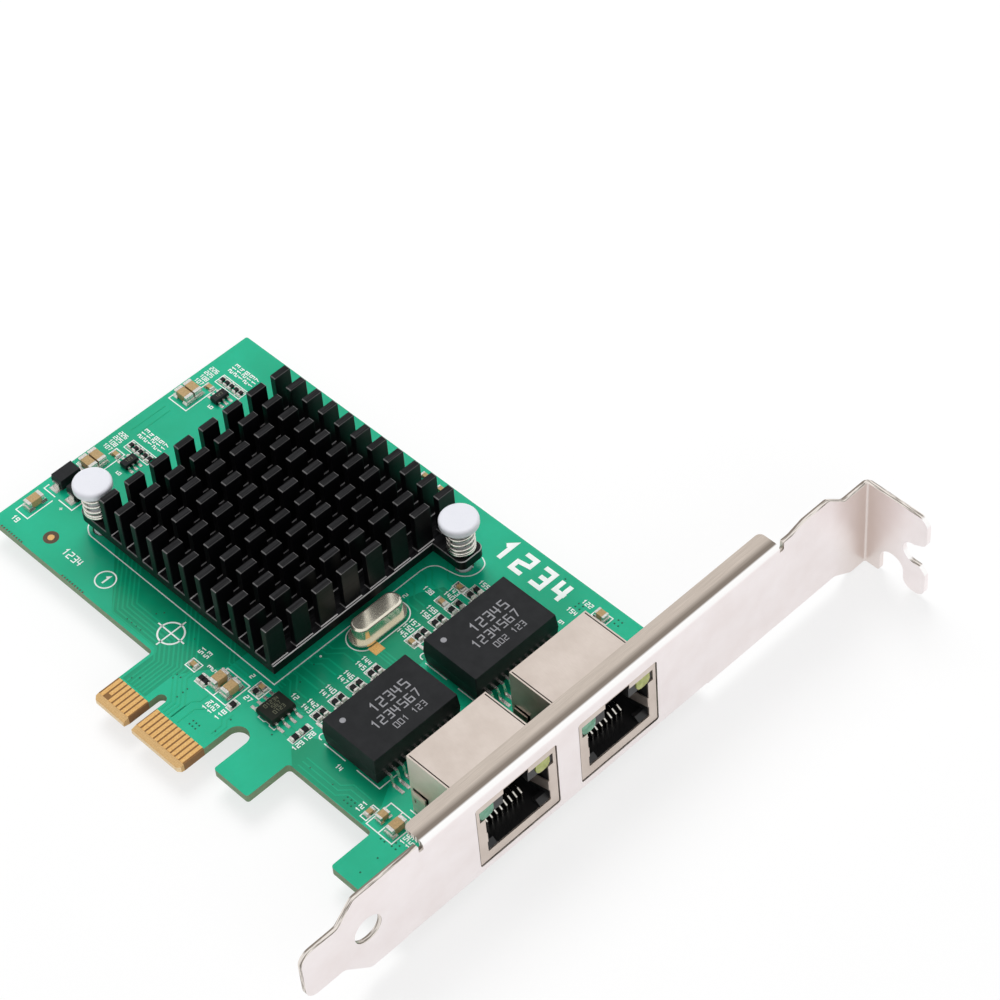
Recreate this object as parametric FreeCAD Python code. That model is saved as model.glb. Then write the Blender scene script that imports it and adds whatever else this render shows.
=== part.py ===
"""Two-port network interface card with its full-height slot bracket.

Frame, in millimetres: the card lies flat with its component side up. X runs along the card's
lower edge toward the bracket, Y runs away from the edge connector, and Z leaves the component
side. The origin is on the centre line of the connector's key notch, level with the tip of the
connector's tongue, in the middle of the board's thickness. Heights named "height" or "rise" are
measured from the board's component side.
"""
import FreeCAD, Part
import math
import os

Vector = FreeCAD.Vector

# Circuit board: outline distances are measured from the origin
board_thickness = 1.57
board_far_x = -48.9
board_near_x = 57.3
board_top_y = 67.8
board_lower_y = 12.15
hook_left_x = 16.1
hook_right_x = 23.8
hook_lower_y = 3.7
ear_tab_left_x = 42.4
ear_tab_lower_y = 3.8

# Edge connector: one lane, eleven fingers on the bracket side of the key and seven beyond it
key_width = 1.9
key_depth = 7.8
tongue_left_x = -8.15
tongue_right_x = 12.15
tongue_bevel_length = 1.1
tongue_bevel_depth = 0.32
finger_pitch = 1.0
finger_width = 0.7
finger_first_x = 1.5
finger_lower_y = 1.1
finger_length = 4.1
finger_short_by = 0.95
finger_thickness = 0.05
fingers_near = 11
fingers_far = 7
short_finger = 5

# Slot bracket, folded from one sheet
sheet = 0.86
bracket_face_x = 58.74
bracket_top_rise = 16.58
bracket_width = 18.42
bracket_end_y = -15.1
bracket_fold_y = 104.05
tail_low_rise = 2.7
tail_high_rise = 13.0
tail_length = 7.1
tail_low_taper = 4.8
tail_high_taper = 3.4
tail_corner = 2.2
outline_corner = 1.5
bend_outer_radius = 1.1
flange_reach = 4.2
flange_start_y = 8.9
flange_end_to_fold = 20.15
relief_width = 0.9
relief_depth = 1.6
rail_reach = 2.9
rail_start_y = 4.2
rail_end_y = 67.3
ear_reach = 10.8
ear_width = 9.0
ear_hole_x = 52.0
ear_hole_low_y = 8.7
ear_hole_high_y = 62.9
collar_diameter = 4.8
collar_length = 1.3
alignment_hole_y = -2.8
alignment_hole_rise = 7.5
alignment_hole_diameter = 5.2
crest_height = 0.9
crest_start = 17.5
crest_flat_start = 14.5
crest_flat_end = 9.0
crest_end = 5.3
step_start = 7.3
step_end = 3.4
tab_reach = 12.2
tab_high_rise = 14.3
tab_low_rise = -4.2
tab_outer_corner = 2.0
screw_slot_rise = 5.1
screw_slot_width = 4.4
screw_slot_depth = 4.6
screw_slot_flare = 1.2
side_notch_x = 64.2
side_notch_width = 4.8
side_notch_rise = 1.6

# Screws that hold the bracket to the board
screw_diameter = 2.9
screw_clearance_hole = 3.2
screw_head_diameter = 5.4
screw_head_height = 1.8
screw_length = 4.6
recess_length = 3.0
recess_width = 0.7
recess_depth = 0.9

# Network sockets
jack_pitch = 21.13
jack_first_y = 27.3
jack_width = 16.2
jack_height = 13.55
jack_back_x = 44.0
jack_recess = 0.14
window_gap = 0.2
shield_wall = 0.25
mouth_width = 12.9
mouth_floor_rise = 1.9
mouth_roof_rise = 9.9
mouth_depth = 9.0
latch_width = 5.1
light_roof_rise = 12.3
light_window_margin = 0.6
light_width = 2.8
light_length = 3.4
contact_count = 8
contact_pitch = 1.02
contact_width = 0.46
contact_thickness = 0.3
contact_setback = 3.4
contact_tip_rise = 3.3
contact_rear_rise = 5.2
contact_foot_rise = 1.0
contact_crest_run = 0.8
contact_crest_rise = 0.55
tail_row_gap = 2.54
tail_below_board = 1.1
tail_hole_diameter = 0.9
post_x = 51.2
post_width = 1.4
post_hole_diameter = 2.0
seam_width = 0.2
spring_window_inset = 0.6
spring_window_length = 3.3
spring_window_low_rise = 2.6
spring_window_high_rise = 6.3
spring_side_gap = 0.3
ground_spring_reach = 3.65
ground_spring_low_rise = 4.2
ground_spring_high_rise = 6.4
ramp_height = 0.7
ramp_length = 1.6
ramp_slope = 0.9
ramp_width = 2.0

# Magnetics modules, one behind each socket
magnetics_x = 30.9
magnetics_width = 12.0
magnetics_length = 17.7
magnetics_height = 5.9
magnetics_lead_pitch = 1.27
magnetics_leads_per_side = 12
magnetics_span = 18.2

# Controller chip, its thermal pad and its heatsink
heatsink_x = -9.4
heatsink_y = 41.0
heatsink_length = 40.8
heatsink_width = 39.8
heatsink_base = 2.0
heatsink_top_rise = 12.3
fin_columns = 11
fin_rows = 8
fin_thickness = 1.2
fin_length = 3.35
fin_inset = 0.45
pin_offset_x = 24.4
pin_offset_y = 17.2
pin_line_shift_y = -0.6
ear_half_width = 2.6
ear_corner = 1.3
chip_size = 27.0
chip_cap_size = 24.0
chip_height = 2.0
ball_height = 0.4
ball_diameter = 0.7
ball_pitch = 1.27
balls_per_row = 16
substrate_thickness = 0.5
pad_thickness = 0.3

# Spring-loaded push pins that clamp the heatsink
pin_shank_diameter = 3.0
pin_hole_diameter = 3.3
pin_head_diameter = 6.6
pin_head_height = 1.4
pin_top_rise = 11.5
pin_barb_diameter = 4.0
pin_barb_drop = 0.12
pin_tip_length = 2.9
pin_barb_height = 0.7
pin_neck_length = 1.2
pin_neck_relief = 0.1
pin_split = 0.8
spring_diameter = 4.8
spring_wire = 0.5
spring_turns = 3.6
spring_seat_gap = 0.03

# Crystal can
crystal_x = 14.1
crystal_y = 39.8
crystal_flange_length = 11.0
crystal_flange_width = 4.5
crystal_flange_height = 0.5
crystal_can_length = 9.8
crystal_can_width = 3.5
crystal_height = 3.65
crystal_lift = 0.25
crystal_rim_round = 0.45
crystal_lead_pitch = 4.88
crystal_lead_diameter = 0.43
lead_clearance = 0.2

# Chip capacitors and resistors: (length, width, height) by case size
large_case = (3.2, 1.6, 1.4)
medium_case = (2.0, 1.25, 1.0)
small_case = (1.6, 0.8, 0.55)
tiny_case = (1.3, 0.62, 0.4)
end_cap_share = 0.2

# Places of the chip parts: (x, y, lies along Y)
large_capacitor_places = [
    (4.1, 15.5, True), (6.8, 15.5, True), (44.6, 15.2, True), (-46.3, 19.1, True),
    (-46.0, 53.2, False), (-46.0, 51.3, False), (-46.0, 32.3, False), (-46.0, 30.4, False),
]
medium_capacitor_places = [(41.6, 15.2, True), (38.6, 64.9, False)]
small_capacitor_places = [
    (-1.3, 14.8, False), (10.0, 19.1, False), (39.5, 14.4, True), (38.5, 62.9, False),
    (18.1, 53.9, False), (18.1, 49.9, False), (20.5, 41.1, False), (-44.5, 55.6, False),
    (-44.5, 35.0, False), (-3.0, 66.4, False), (1.0, 66.1, False),
]
resistor_places = [
    (10.0, 17.9, False), (1.7, 13.8, True), (2.7, 13.8, True), (9.2, 13.7, True),
    (20.9, 18.1, True), (20.9, 16.1, True),
    (20.5, 55.3, False), (20.5, 53.9, False), (20.5, 51.4, False), (20.5, 49.8, False),
    (20.5, 47.5, False), (20.5, 46.2, False), (20.5, 43.8, False), (20.5, 42.5, False),
    (20.5, 33.8, False), (20.5, 32.5, False), (20.5, 30.0, False), (20.5, 28.7, False),
    (20.5, 26.2, False), (20.5, 24.9, False), (20.5, 22.4, False), (20.5, 21.1, False),
]
resistor_row_first_x = -44.2
resistor_row_pitch = 1.15
resistor_row_count = 5
resistor_row_ys = [58.2, 38.1]

# Leaded packages: centre, body length and width along X and Y, and height
memory_place = (15.1, 17.5)
memory_body = (3.9, 4.9, 1.6)
memory_span = 6.0
regulator_places = [(-41.3, 35.3), (-41.3, 55.1)]
regulator_body = (1.6, 2.9, 1.1)
regulator_span = 2.9
diode_places = [(-46.2, 26.0), (-42.3, 26.0)]
diode_body = (2.7, 4.3, 2.2)
diode_span = 5.3

half_board = board_thickness / 2
flange_end_y = bracket_fold_y - flange_end_to_fold
jack_front_x = bracket_face_x - jack_recess
light_window_width = jack_width - 2 * light_window_margin
jack_centres = [jack_first_y, jack_first_y + jack_pitch]
jack_names = ["lower", "upper"]
bracket_lower_rise = bracket_top_rise - bracket_width
pin_centres = {
    "left": (heatsink_x - pin_offset_x, heatsink_y + pin_line_shift_y - pin_offset_y),
    "right": (heatsink_x + pin_offset_x, heatsink_y + pin_line_shift_y + pin_offset_y),
}
base_bottom_rise = chip_height + pad_thickness
base_top_rise = base_bottom_rise + heatsink_base
ear_hole_centres = [(ear_hole_x, ear_hole_low_y), (ear_hole_x, ear_hole_high_y)]


def level(height):
    """Z of a height that is measured from the component side."""
    return half_board + height


def block(x0, x1, y0, y1, z0, z1):
    return Part.makeBox(x1 - x0, y1 - y0, z1 - z0, Vector(x0, y0, z0))


def rod(x, y, z0, z1, diameter):
    return Part.makeCylinder(diameter / 2, z1 - z0, Vector(x, y, z0))


def outline(corners, place):
    """Closed wire through corners (u, v, radius), where place turns u, v into a point."""
    arcs = []
    for index, (u, v, radius) in enumerate(corners):
        here = Vector(u, v, 0)
        last = Vector(corners[index - 1][0], corners[index - 1][1], 0)
        following = corners[(index + 1) % len(corners)]
        back = (last - here).normalize()
        ahead = (Vector(following[0], following[1], 0) - here).normalize()
        half = back.getAngle(ahead) / 2
        run = radius / math.tan(half)
        inward = (back + ahead).normalize() if radius else back
        middle = here + inward * (radius / math.sin(half) - radius)
        arcs.append([place(p.x, p.y) for p in (here + back * run, middle, here + ahead * run)])
    edges = []
    for index, (enter, middle, leave) in enumerate(arcs):
        if corners[index][2]:
            edges.append(Part.Arc(enter, middle, leave).toShape())
        entry = arcs[(index + 1) % len(arcs)][0]
        if leave.distanceToPoint(entry) > 1e-6:
            edges.append(Part.LineSegment(leave, entry).toShape())
    return Part.Wire(edges)


def flat_prism(corners, z0, z1):
    """Prism along Z over corners (x, y, radius)."""
    wire = outline(corners, lambda x, y: Vector(x, y, z0))
    return Part.Face(wire).extrude(Vector(0, 0, z1 - z0))


def face_prism(corners, x0, x1):
    """Prism along X over corners (y, z, radius)."""
    wire = outline(corners, lambda y, z: Vector(x0, y, z))
    return Part.Face(wire).extrude(Vector(x1 - x0, 0, 0))


def profile_prism(corners, y0, y1):
    """Prism along Y over corners (x, z, radius)."""
    wire = outline(corners, lambda x, z: Vector(x, y0, z))
    return Part.Face(wire).extrude(Vector(0, y1 - y0, 0))


def turned(corners, x, y):
    """Solid of revolution about the vertical axis at x, y over corners (radius, z, corner)."""
    wire = outline(corners, lambda r, z: Vector(x + r, y, z))
    return Part.Face(wire).revolve(Vector(x, y, 0), Vector(0, 0, 1), 360)


def ribbon(path, thickness):
    """Corners of a strip of even thickness that follows a path of (u, v) points."""
    points = [Vector(u, v, 0) for u, v in path]
    normals = []
    for start, end in zip(points, points[1:]):
        along = (end - start).normalize()
        normals.append(Vector(-along.y, along.x, 0))
    offsets = [normals[0]]
    for first, second in zip(normals, normals[1:]):
        offsets.append((first + second) * (1 / (1 + first.dot(second))))
    offsets.append(normals[-1])
    left = [p + n * (thickness / 2) for p, n in zip(points, offsets)]
    right = [p - n * (thickness / 2) for p, n in zip(points, offsets)]
    return [(p.x, p.y, 0) for p in left + right[::-1]]


def rounded_rectangle(x, y, length, width, radius):
    """Corners of a rectangle about x, y with one corner radius."""
    return [
        (x - length / 2, y - width / 2, radius), (x + length / 2, y - width / 2, radius),
        (x + length / 2, y + width / 2, radius), (x - length / 2, y + width / 2, radius),
    ]


def joined(shapes):
    return shapes[0].fuse(shapes[1:]).removeSplitter()


# Circuit board and edge connector

def circuit_board():
    key = key_width / 2
    key_round = key - 0.01
    slot_round = (hook_left_x - tongue_right_x) / 2 - 0.01
    chamfer = 0.5
    corners = [
        (board_far_x, board_lower_y, 0.4), (tongue_left_x, board_lower_y, 0.7),
        (tongue_left_x, chamfer, 0), (tongue_left_x + chamfer, 0, 0),
        (-key, 0, 0), (-key, key_depth, key_round), (key, key_depth, key_round), (key, 0, 0),
        (tongue_right_x - chamfer, 0, 0), (tongue_right_x, chamfer, 0),
        (tongue_right_x, board_lower_y, slot_round), (hook_left_x, board_lower_y, slot_round),
        (hook_left_x, hook_lower_y, 0.5), (hook_right_x, hook_lower_y, 0.5),
        (hook_right_x, board_lower_y, 0.7), (ear_tab_left_x, board_lower_y, 0.7),
        (ear_tab_left_x, ear_tab_lower_y, 0.6), (board_near_x, ear_tab_lower_y, 0.6),
        (board_near_x, board_top_y, 0.4), (board_far_x, board_top_y, 0.4),
    ]
    board = flat_prism(corners, -half_board, half_board)
    holes = [rod(x, y, -half_board, half_board, pin_hole_diameter) for x, y in pin_centres.values()]
    holes += [rod(x, y, -half_board, half_board, screw_clearance_hole) for x, y in ear_hole_centres]
    for centre in jack_centres:
        for x, y in contact_tails(centre):
            holes.append(rod(x, y, -half_board, half_board, tail_hole_diameter))
        for side in (-1, 1):
            y = centre + side * (jack_width - shield_wall) / 2
            holes.append(rod(post_x, y, -half_board, half_board, post_hole_diameter))
    for x, y in crystal_leads_places():
        holes.append(rod(x, y, -half_board, half_board, crystal_lead_diameter + 2 * lead_clearance))
    return board.cut(holes).cut(tongue_bevels())


def tongue_bevels():
    """Wedges that bevel the tongue's tip on both sides."""
    wedges = []
    for side in (-1, 1):
        surface = side * half_board
        inner = side * (half_board - tongue_bevel_depth)
        beyond = side * (half_board + 1)
        wire = Part.makePolygon([
            Vector(tongue_left_x - 1, tongue_bevel_length, surface), Vector(tongue_left_x - 1, 0, inner),
            Vector(tongue_left_x - 1, -1, inner), Vector(tongue_left_x - 1, -1, beyond),
            Vector(tongue_left_x - 1, tongue_bevel_length, beyond),
            Vector(tongue_left_x - 1, tongue_bevel_length, surface),
        ])
        length = tongue_right_x - tongue_left_x + 2
        wedges.append(Part.Face(wire).extrude(Vector(length, 0, 0)))
    return wedges


def edge_contacts(side):
    """The eighteen gold fingers of one side of the tongue, side 1 above and -1 below."""
    places = [finger_first_x + n * finger_pitch for n in range(fingers_near)]
    far = [-finger_first_x - n * finger_pitch for n in range(fingers_far)]
    surface = side * half_board
    z0, z1 = sorted((surface, surface + side * finger_thickness))
    fingers = []
    for x in places + far:
        lower = finger_lower_y + (finger_short_by if x == far[short_finger] else 0)
        upper = finger_lower_y + finger_length
        fingers.append(block(x - finger_width / 2, x + finger_width / 2, lower, upper, z0, z1))
    return fingers


# Slot bracket and its screws

def bracket_face():
    """The flat plate, whose edges stop short of the two long bends."""
    high = level(bracket_top_rise)
    low = level(bracket_lower_rise)
    flange_line = high - bend_outer_radius - 0.2
    rail_line = -half_board - sheet + bend_outer_radius + 0.2
    tip_low, tip_high = level(tail_low_rise), level(tail_high_rise)
    neck_y = bracket_end_y + tail_length
    notch_floor = high - relief_depth
    crest = high + crest_height
    fold = bracket_fold_y
    corners = [
        (bracket_end_y, tip_low, tail_corner), (neck_y, tip_low, outline_corner),
        (neck_y + tail_low_taper, low, outline_corner),
        (rail_start_y - 0.3, low, 0), (rail_start_y, low + 0.3, 0),
        (rail_start_y, rail_line, 0), (rail_end_y, rail_line, 0), (rail_end_y, low + 0.3, 0),
        (rail_end_y + 0.3, low, 0), (fold - step_start, low, outline_corner),
        (fold - step_end, level(tab_low_rise), 1.0), (fold - 1, level(tab_low_rise), 0),
        (fold - 1, level(tab_high_rise), 0), (fold - crest_end, level(tab_high_rise), outline_corner),
        (fold - crest_flat_end, crest, outline_corner), (fold - crest_flat_start, crest, 2.0),
        (fold - crest_start, high, 0.8), (flange_end_y + relief_width, high, 0.2),
        (flange_end_y + relief_width, notch_floor, 0.3), (flange_end_y, notch_floor, 0),
        (flange_end_y, flange_line, 0), (flange_start_y, flange_line, 0),
        (flange_start_y, notch_floor, 0), (flange_start_y - relief_width, notch_floor, 0.3),
        (flange_start_y - relief_width, high, 0.2), (neck_y + tail_high_taper, high, outline_corner),
        (neck_y, tip_high, outline_corner), (bracket_end_y, tip_high, tail_corner),
    ]
    return face_prism(corners, bracket_face_x - sheet, bracket_face_x)


def bent_edge(edge_z, reach, y0, y1, direction):
    """Long bend and flange; direction is 1 for the upper edge and -1 for the lower one."""
    plate_z = edge_z - direction * (bend_outer_radius + 0.2)
    inner = edge_z - direction * sheet
    tip_x = bracket_face_x - reach
    corners = [
        (bracket_face_x, plate_z, 0), (bracket_face_x, edge_z, bend_outer_radius), (tip_x, edge_z, 0),
        (tip_x, inner, 0), (bracket_face_x - sheet, inner, bend_outer_radius - sheet),
        (bracket_face_x - sheet, plate_z, 0),
    ]
    return profile_prism(corners, y0, y1)


def bracket_flange():
    flange = bent_edge(level(bracket_top_rise), flange_reach, flange_start_y, flange_end_y, 1)
    tip_x = bracket_face_x - flange_reach
    plan = [
        (tip_x, flange_start_y, 1.0), (bracket_face_x + 1, flange_start_y, 0),
        (bracket_face_x + 1, flange_end_y, 0), (tip_x, flange_end_y, 1.0),
    ]
    return flange.common(flat_prism(plan, 0, level(bracket_top_rise) + 1))


def bracket_rail():
    """Lower bend with the two ears that lie under the board."""
    bottom = -half_board - sheet
    rail = bent_edge(bottom, rail_reach, rail_start_y, rail_end_y, -1)
    tip_x = bracket_face_x - ear_reach
    root_x = bracket_face_x - bend_outer_radius - 0.3
    parts = [rail]
    for x, y in ear_hole_centres:
        low_y, high_y = y - ear_width / 2, y + ear_width / 2
        plan = [(tip_x, low_y, 1.5), (root_x, low_y, 0), (root_x, high_y, 0), (tip_x, high_y, 1.5)]
        parts.append(flat_prism(plan, bottom, -half_board))
        parts.append(rod(x, y, bottom - collar_length, bottom, collar_diameter))
    return parts


def bracket_tab():
    """Tab folded outward at the top end, with the screw slot and the side notch."""
    end_x = bracket_face_x + tab_reach
    low, high = level(tab_low_rise), level(tab_high_rise)
    inner_radius = 0.4
    fold = [
        (bracket_face_x - sheet, bracket_fold_y - 1, 0),
        (bracket_face_x - sheet, bracket_fold_y + sheet, inner_radius + sheet),
        (end_x, bracket_fold_y + sheet, 0), (end_x, bracket_fold_y, 0),
        (bracket_face_x, bracket_fold_y, inner_radius), (bracket_face_x, bracket_fold_y - 1, 0),
    ]
    sheet_metal = flat_prism(fold, low, high)
    slot_low = level(screw_slot_rise - screw_slot_width / 2)
    slot_high = level(screw_slot_rise + screw_slot_width / 2)
    slot_round = screw_slot_width / 2 - 0.01
    slot_x = end_x - screw_slot_depth
    notch_left, notch_right = side_notch_x - side_notch_width / 2, side_notch_x + side_notch_width / 2
    notch_top = level(side_notch_rise)
    notch_round = side_notch_width / 2 - 0.01
    flare = screw_slot_flare
    lip = low + 0.4
    corner = tab_outer_corner
    edge = [
        (bracket_face_x - sheet - 1, low, 0), (notch_left, low, 0.6), (notch_left, notch_top, notch_round),
        (notch_right, notch_top, notch_round), (notch_right, lip, corner), (end_x, lip, corner),
        (end_x, slot_low - flare, 1.2), (end_x - flare, slot_low, 0.8), (slot_x, slot_low, slot_round),
        (slot_x, slot_high, slot_round), (end_x - 2 * flare, slot_high, 1.0),
        (end_x, slot_high + flare, 1.6), (end_x, high, corner), (bracket_face_x - sheet - 1, high, 0),
    ]
    return sheet_metal.common(profile_prism(edge, bracket_fold_y - 1, bracket_fold_y + sheet + 1))


def socket_window(centre):
    half = jack_width / 2 + window_gap
    low, high = level(-0.3), level(jack_height + window_gap)
    corners = [(centre - half, low, 0.5), (centre + half, low, 0.5),
               (centre + half, high, 0.5), (centre - half, high, 0.5)]
    return face_prism(corners, bracket_face_x - 2, bracket_face_x + 1)


def bracket():
    folded = joined([bracket_face(), bracket_flange(), bracket_tab()] + bracket_rail())
    cuts = [socket_window(centre) for centre in jack_centres]
    hole_start = Vector(bracket_face_x - 2, alignment_hole_y, level(alignment_hole_rise))
    cuts.append(Part.makeCylinder(alignment_hole_diameter / 2, 4, hole_start, Vector(1, 0, 0)))
    for x, y in ear_hole_centres:
        cuts.append(rod(x, y, -half_board - sheet - collar_length - 1, -half_board, screw_diameter + 0.1))
    return folded.cut(cuts)


def bracket_screws():
    screws = []
    for x, y in ear_hole_centres:
        head = [
            (0, half_board, 0), (screw_head_diameter / 2, half_board, 0.2),
            (screw_head_diameter / 2, level(screw_head_height), 0.9), (0, level(screw_head_height), 0),
        ]
        screw = joined([turned(head, x, y), rod(x, y, half_board - screw_length, half_board, screw_diameter)])
        recess_z, beyond = level(screw_head_height - recess_depth), level(screw_head_height) + 1
        half_length, half_width = recess_length / 2, recess_width / 2
        cross = [
            block(x - half_length, x + half_length, y - half_width, y + half_width, recess_z, beyond),
            block(x - half_width, x + half_width, y - half_length, y + half_length, recess_z, beyond),
        ]
        screws.append(screw.cut(cross))
    return screws


# Network sockets

def mouth_outline(centre):
    """Opening of a socket in the Y-Z plane: plug mouth, two light windows and the latch recess."""
    mouth, lights, latch = mouth_width / 2, light_window_width / 2, latch_width / 2
    floor, roof = level(mouth_floor_rise), level(mouth_roof_rise)
    step, peak = level(light_roof_rise), level(jack_height - shield_wall)
    half = [(mouth, floor), (mouth, roof), (lights, roof), (lights, step), (latch, step), (latch, peak)]
    right = [(centre + y, z, 0) for y, z in half]
    left = [(centre - y, z, 0) for y, z in half]
    return right + left[::-1]


def jack_shield(centre):
    half = jack_width / 2
    top = level(jack_height)
    outer = block(jack_back_x, jack_front_x, centre - half, centre + half, half_board, top)
    inner = block(jack_back_x + shield_wall, jack_front_x - shield_wall, centre - half + shield_wall,
                  centre + half - shield_wall, half_board - 1, top - shield_wall)
    opening = face_prism(mouth_outline(centre), jack_front_x - 2 * shield_wall, jack_front_x + 1)
    cuts = [inner, opening]
    extras = []
    for side in (-1, 1):
        wall_y = centre + side * half
        seam0, seam1 = sorted((wall_y - side * shield_wall, wall_y - side * (shield_wall + seam_width)))
        cuts.append(block(jack_back_x + shield_wall, bracket_face_x - 4.5, seam0, seam1, top - 1, top + 1))
        extras += [side_spring(wall_y, side), ground_spring(centre, side), board_post(wall_y, side)]
        cuts.append(spring_window(wall_y, side))
    return joined([outer.cut(cuts)] + extras)


def spring_window(wall_y, side):
    y0, y1 = sorted((wall_y + side, wall_y - side * 2 * shield_wall))
    x0 = jack_back_x + spring_window_inset
    x1 = x0 + spring_window_length
    return block(x0, x1, y0, y1, level(spring_window_low_rise), level(spring_window_high_rise))


def side_spring(wall_y, side):
    """Finger that stays joined at its foot and leans out of its window in the side wall."""
    y_inner = wall_y - side * shield_wall / 2
    root = level(spring_window_low_rise)
    tip = level(spring_window_high_rise - spring_side_gap)
    path = [(y_inner, root - 0.1), (y_inner, root + 0.6), (wall_y + side * 0.4, tip - 0.8),
            (wall_y + side * 0.3, tip)]
    x0 = jack_back_x + spring_window_inset + spring_side_gap
    x1 = x0 + spring_window_length - 2 * spring_side_gap
    return face_prism(ribbon(path, shield_wall), x0, x1)


def ground_spring(centre, side):
    """Finger folded into the mouth from the front wall, which touches the plug."""
    edge_y = centre + side * mouth_width / 2
    front_x = jack_front_x - shield_wall / 2
    tip_x = jack_front_x - shield_wall - ground_spring_reach
    path = [(front_x, edge_y + side * 0.2), (front_x, edge_y - side * 0.1), (tip_x, edge_y - side * 0.8)]
    corners = ribbon(path, shield_wall * 0.8)
    return flat_prism(corners, level(ground_spring_low_rise), level(ground_spring_high_rise))


def board_post(wall_y, side):
    y0, y1 = sorted((wall_y, wall_y - side * shield_wall))
    low = -half_board - tail_below_board
    return block(post_x - post_width / 2, post_x + post_width / 2, y0, y1, low, half_board + 0.5)


def contact_places(centre):
    first = centre - (contact_count - 1) * contact_pitch / 2
    return [first + n * contact_pitch for n in range(contact_count)]


def tail_x(index):
    """The tails leave in two rows, so that the board's holes can be further apart."""
    return jack_back_x + 1.7 + (index % 2) * tail_row_gap


def contact_tails(centre):
    return [(tail_x(n), y) for n, y in enumerate(contact_places(centre))]


def jack_contacts(centre):
    """Sprung wires: up from the floor, sloping back across the mouth, then down to the board."""
    front_x = bracket_face_x - contact_setback
    back_x = jack_front_x - mouth_depth
    contacts = []
    for x, y in contact_tails(centre):
        path = [
            (front_x, level(contact_foot_rise)), (front_x, level(contact_tip_rise)),
            (front_x - contact_crest_run, level(contact_tip_rise + contact_crest_rise)),
            (back_x, level(contact_rear_rise)),
            (x, level(contact_rear_rise + 0.2)), (x, -half_board - tail_below_board),
        ]
        corners = ribbon(path, contact_thickness)
        contacts.append(profile_prism(corners, y - contact_width / 2, y + contact_width / 2))
    return contacts


def jack_light(centre, side):
    """Light with a flat top and a rounded lower edge, side -1 toward the edge connector."""
    near = light_window_width / 2 - (0.1 if side < 0 else 0.6)
    outer_y = centre + side * near
    inner_y = outer_y - side * light_width
    high, low = level(light_roof_rise - 0.05), level(mouth_roof_rise + 0.1)
    corners = [(inner_y, low, 1.1), (outer_y, low, 1.1), (outer_y, high, 0.15), (inner_y, high, 0.15)]
    return face_prism(corners, jack_front_x - light_length, jack_front_x - 0.05)


def jack_housing(centre, fitted):
    half = jack_width / 2 - shield_wall - 0.03
    front = jack_front_x - shield_wall - 0.02
    body = block(jack_back_x + shield_wall + 0.03, front, centre - half, centre + half,
                 half_board, level(jack_height - shield_wall - 0.03))
    mouth = block(jack_front_x - mouth_depth, front + 1, centre - mouth_width / 2, centre + mouth_width / 2,
                  level(mouth_floor_rise), level(mouth_roof_rise))
    latch = block(jack_front_x - mouth_depth, front + 1, centre - latch_width / 2,
                  centre + latch_width / 2, level(mouth_roof_rise) - 1, level(jack_height))
    ramps = []
    for side in (-1, 1):
        y0, y1 = sorted((centre + side * mouth_width / 2, centre + side * (mouth_width / 2 - ramp_width)))
        low, high, rear = level(mouth_floor_rise), level(mouth_floor_rise + ramp_height), front - ramp_length
        ramp = [(front, low, 0), (front - ramp_slope, high, 0), (rear, high, 0), (rear, low, 0)]
        ramps.append(profile_prism(ramp, y0, y1))
    return joined([body.cut([mouth, latch])] + ramps).cut(fitted)


# Leaded packages

def package_body(x, y, size, lift, draft):
    """Moulded body with a parting line at mid height and sloping walls above and below it."""
    length, width, height = size
    waist = level((height + lift) / 2)
    wires = []
    for z, inset in ((level(lift), draft), (waist, 0), (level(height), draft)):
        corners = rounded_rectangle(x, y, length - 2 * inset, width - 2 * inset, 0)
        wires.append(outline(corners, lambda u, v, z=z: Vector(u, v, z)))
    return Part.makeLoft(wires, True, True)


def gull_wings(x, y, body_length, span, places, lead_width, thickness, shoulder):
    """Leads on both X sides at the given places along Y."""
    leads = []
    for side in (-1, 1):
        wall = x + side * body_length / 2
        toe = x + side * span / 2
        reach = abs(toe - wall)
        path = [(wall - side * 0.25, level(shoulder)), (wall + side * reach * 0.38, level(shoulder)),
                (wall + side * reach * 0.52, level(thickness / 2)), (toe, level(thickness / 2))]
        for place in places:
            corners = ribbon(path, thickness)
            leads.append(profile_prism(corners, place - lead_width / 2, place + lead_width / 2))
    return leads


def lead_places(y, count, pitch):
    return [y + (n - (count - 1) / 2) * pitch for n in range(count)]


def magnetics(y):
    leads = gull_wings(magnetics_x, y, magnetics_width, magnetics_span,
                       lead_places(y, magnetics_leads_per_side, magnetics_lead_pitch), 0.45, 0.2, 2.1)
    size = (magnetics_width, magnetics_length, magnetics_height)
    body = package_body(magnetics_x, y, size, 0.3, 0.25).cut(leads)
    return body, leads


def memory_chip():
    x, y = memory_place
    leads = gull_wings(x, y, memory_body[0], memory_span, lead_places(y, 4, 1.27), 0.42, 0.2, 0.75)
    return package_body(x, y, memory_body, 0.12, 0.12).cut(leads), leads


def regulator(x, y):
    leads = gull_wings(x, y, regulator_body[0], regulator_span, lead_places(y, 3, 0.95), 0.4, 0.15, 0.55)
    return package_body(x, y, regulator_body, 0.1, 0.08).cut(leads), leads


def diode(x, y):
    """Moulded body with one wide lead at each Y end."""
    length, width, height = diode_body
    leads = []
    for side in (-1, 1):
        wall = y + side * width / 2
        toe = y + side * diode_span / 2
        path = [(wall - side * 0.3, level(1.1)), (wall + side * 0.12, level(1.1)),
                (wall + side * 0.12, level(0.1)), (toe, level(0.1))]
        leads.append(face_prism(ribbon(path, 0.2), x - 0.75, x + 0.75))
    body = package_body(x, y, (length, width, height), 0.1, 0.12).cut(leads)
    return body, leads


# Chip capacitors and resistors

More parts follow.
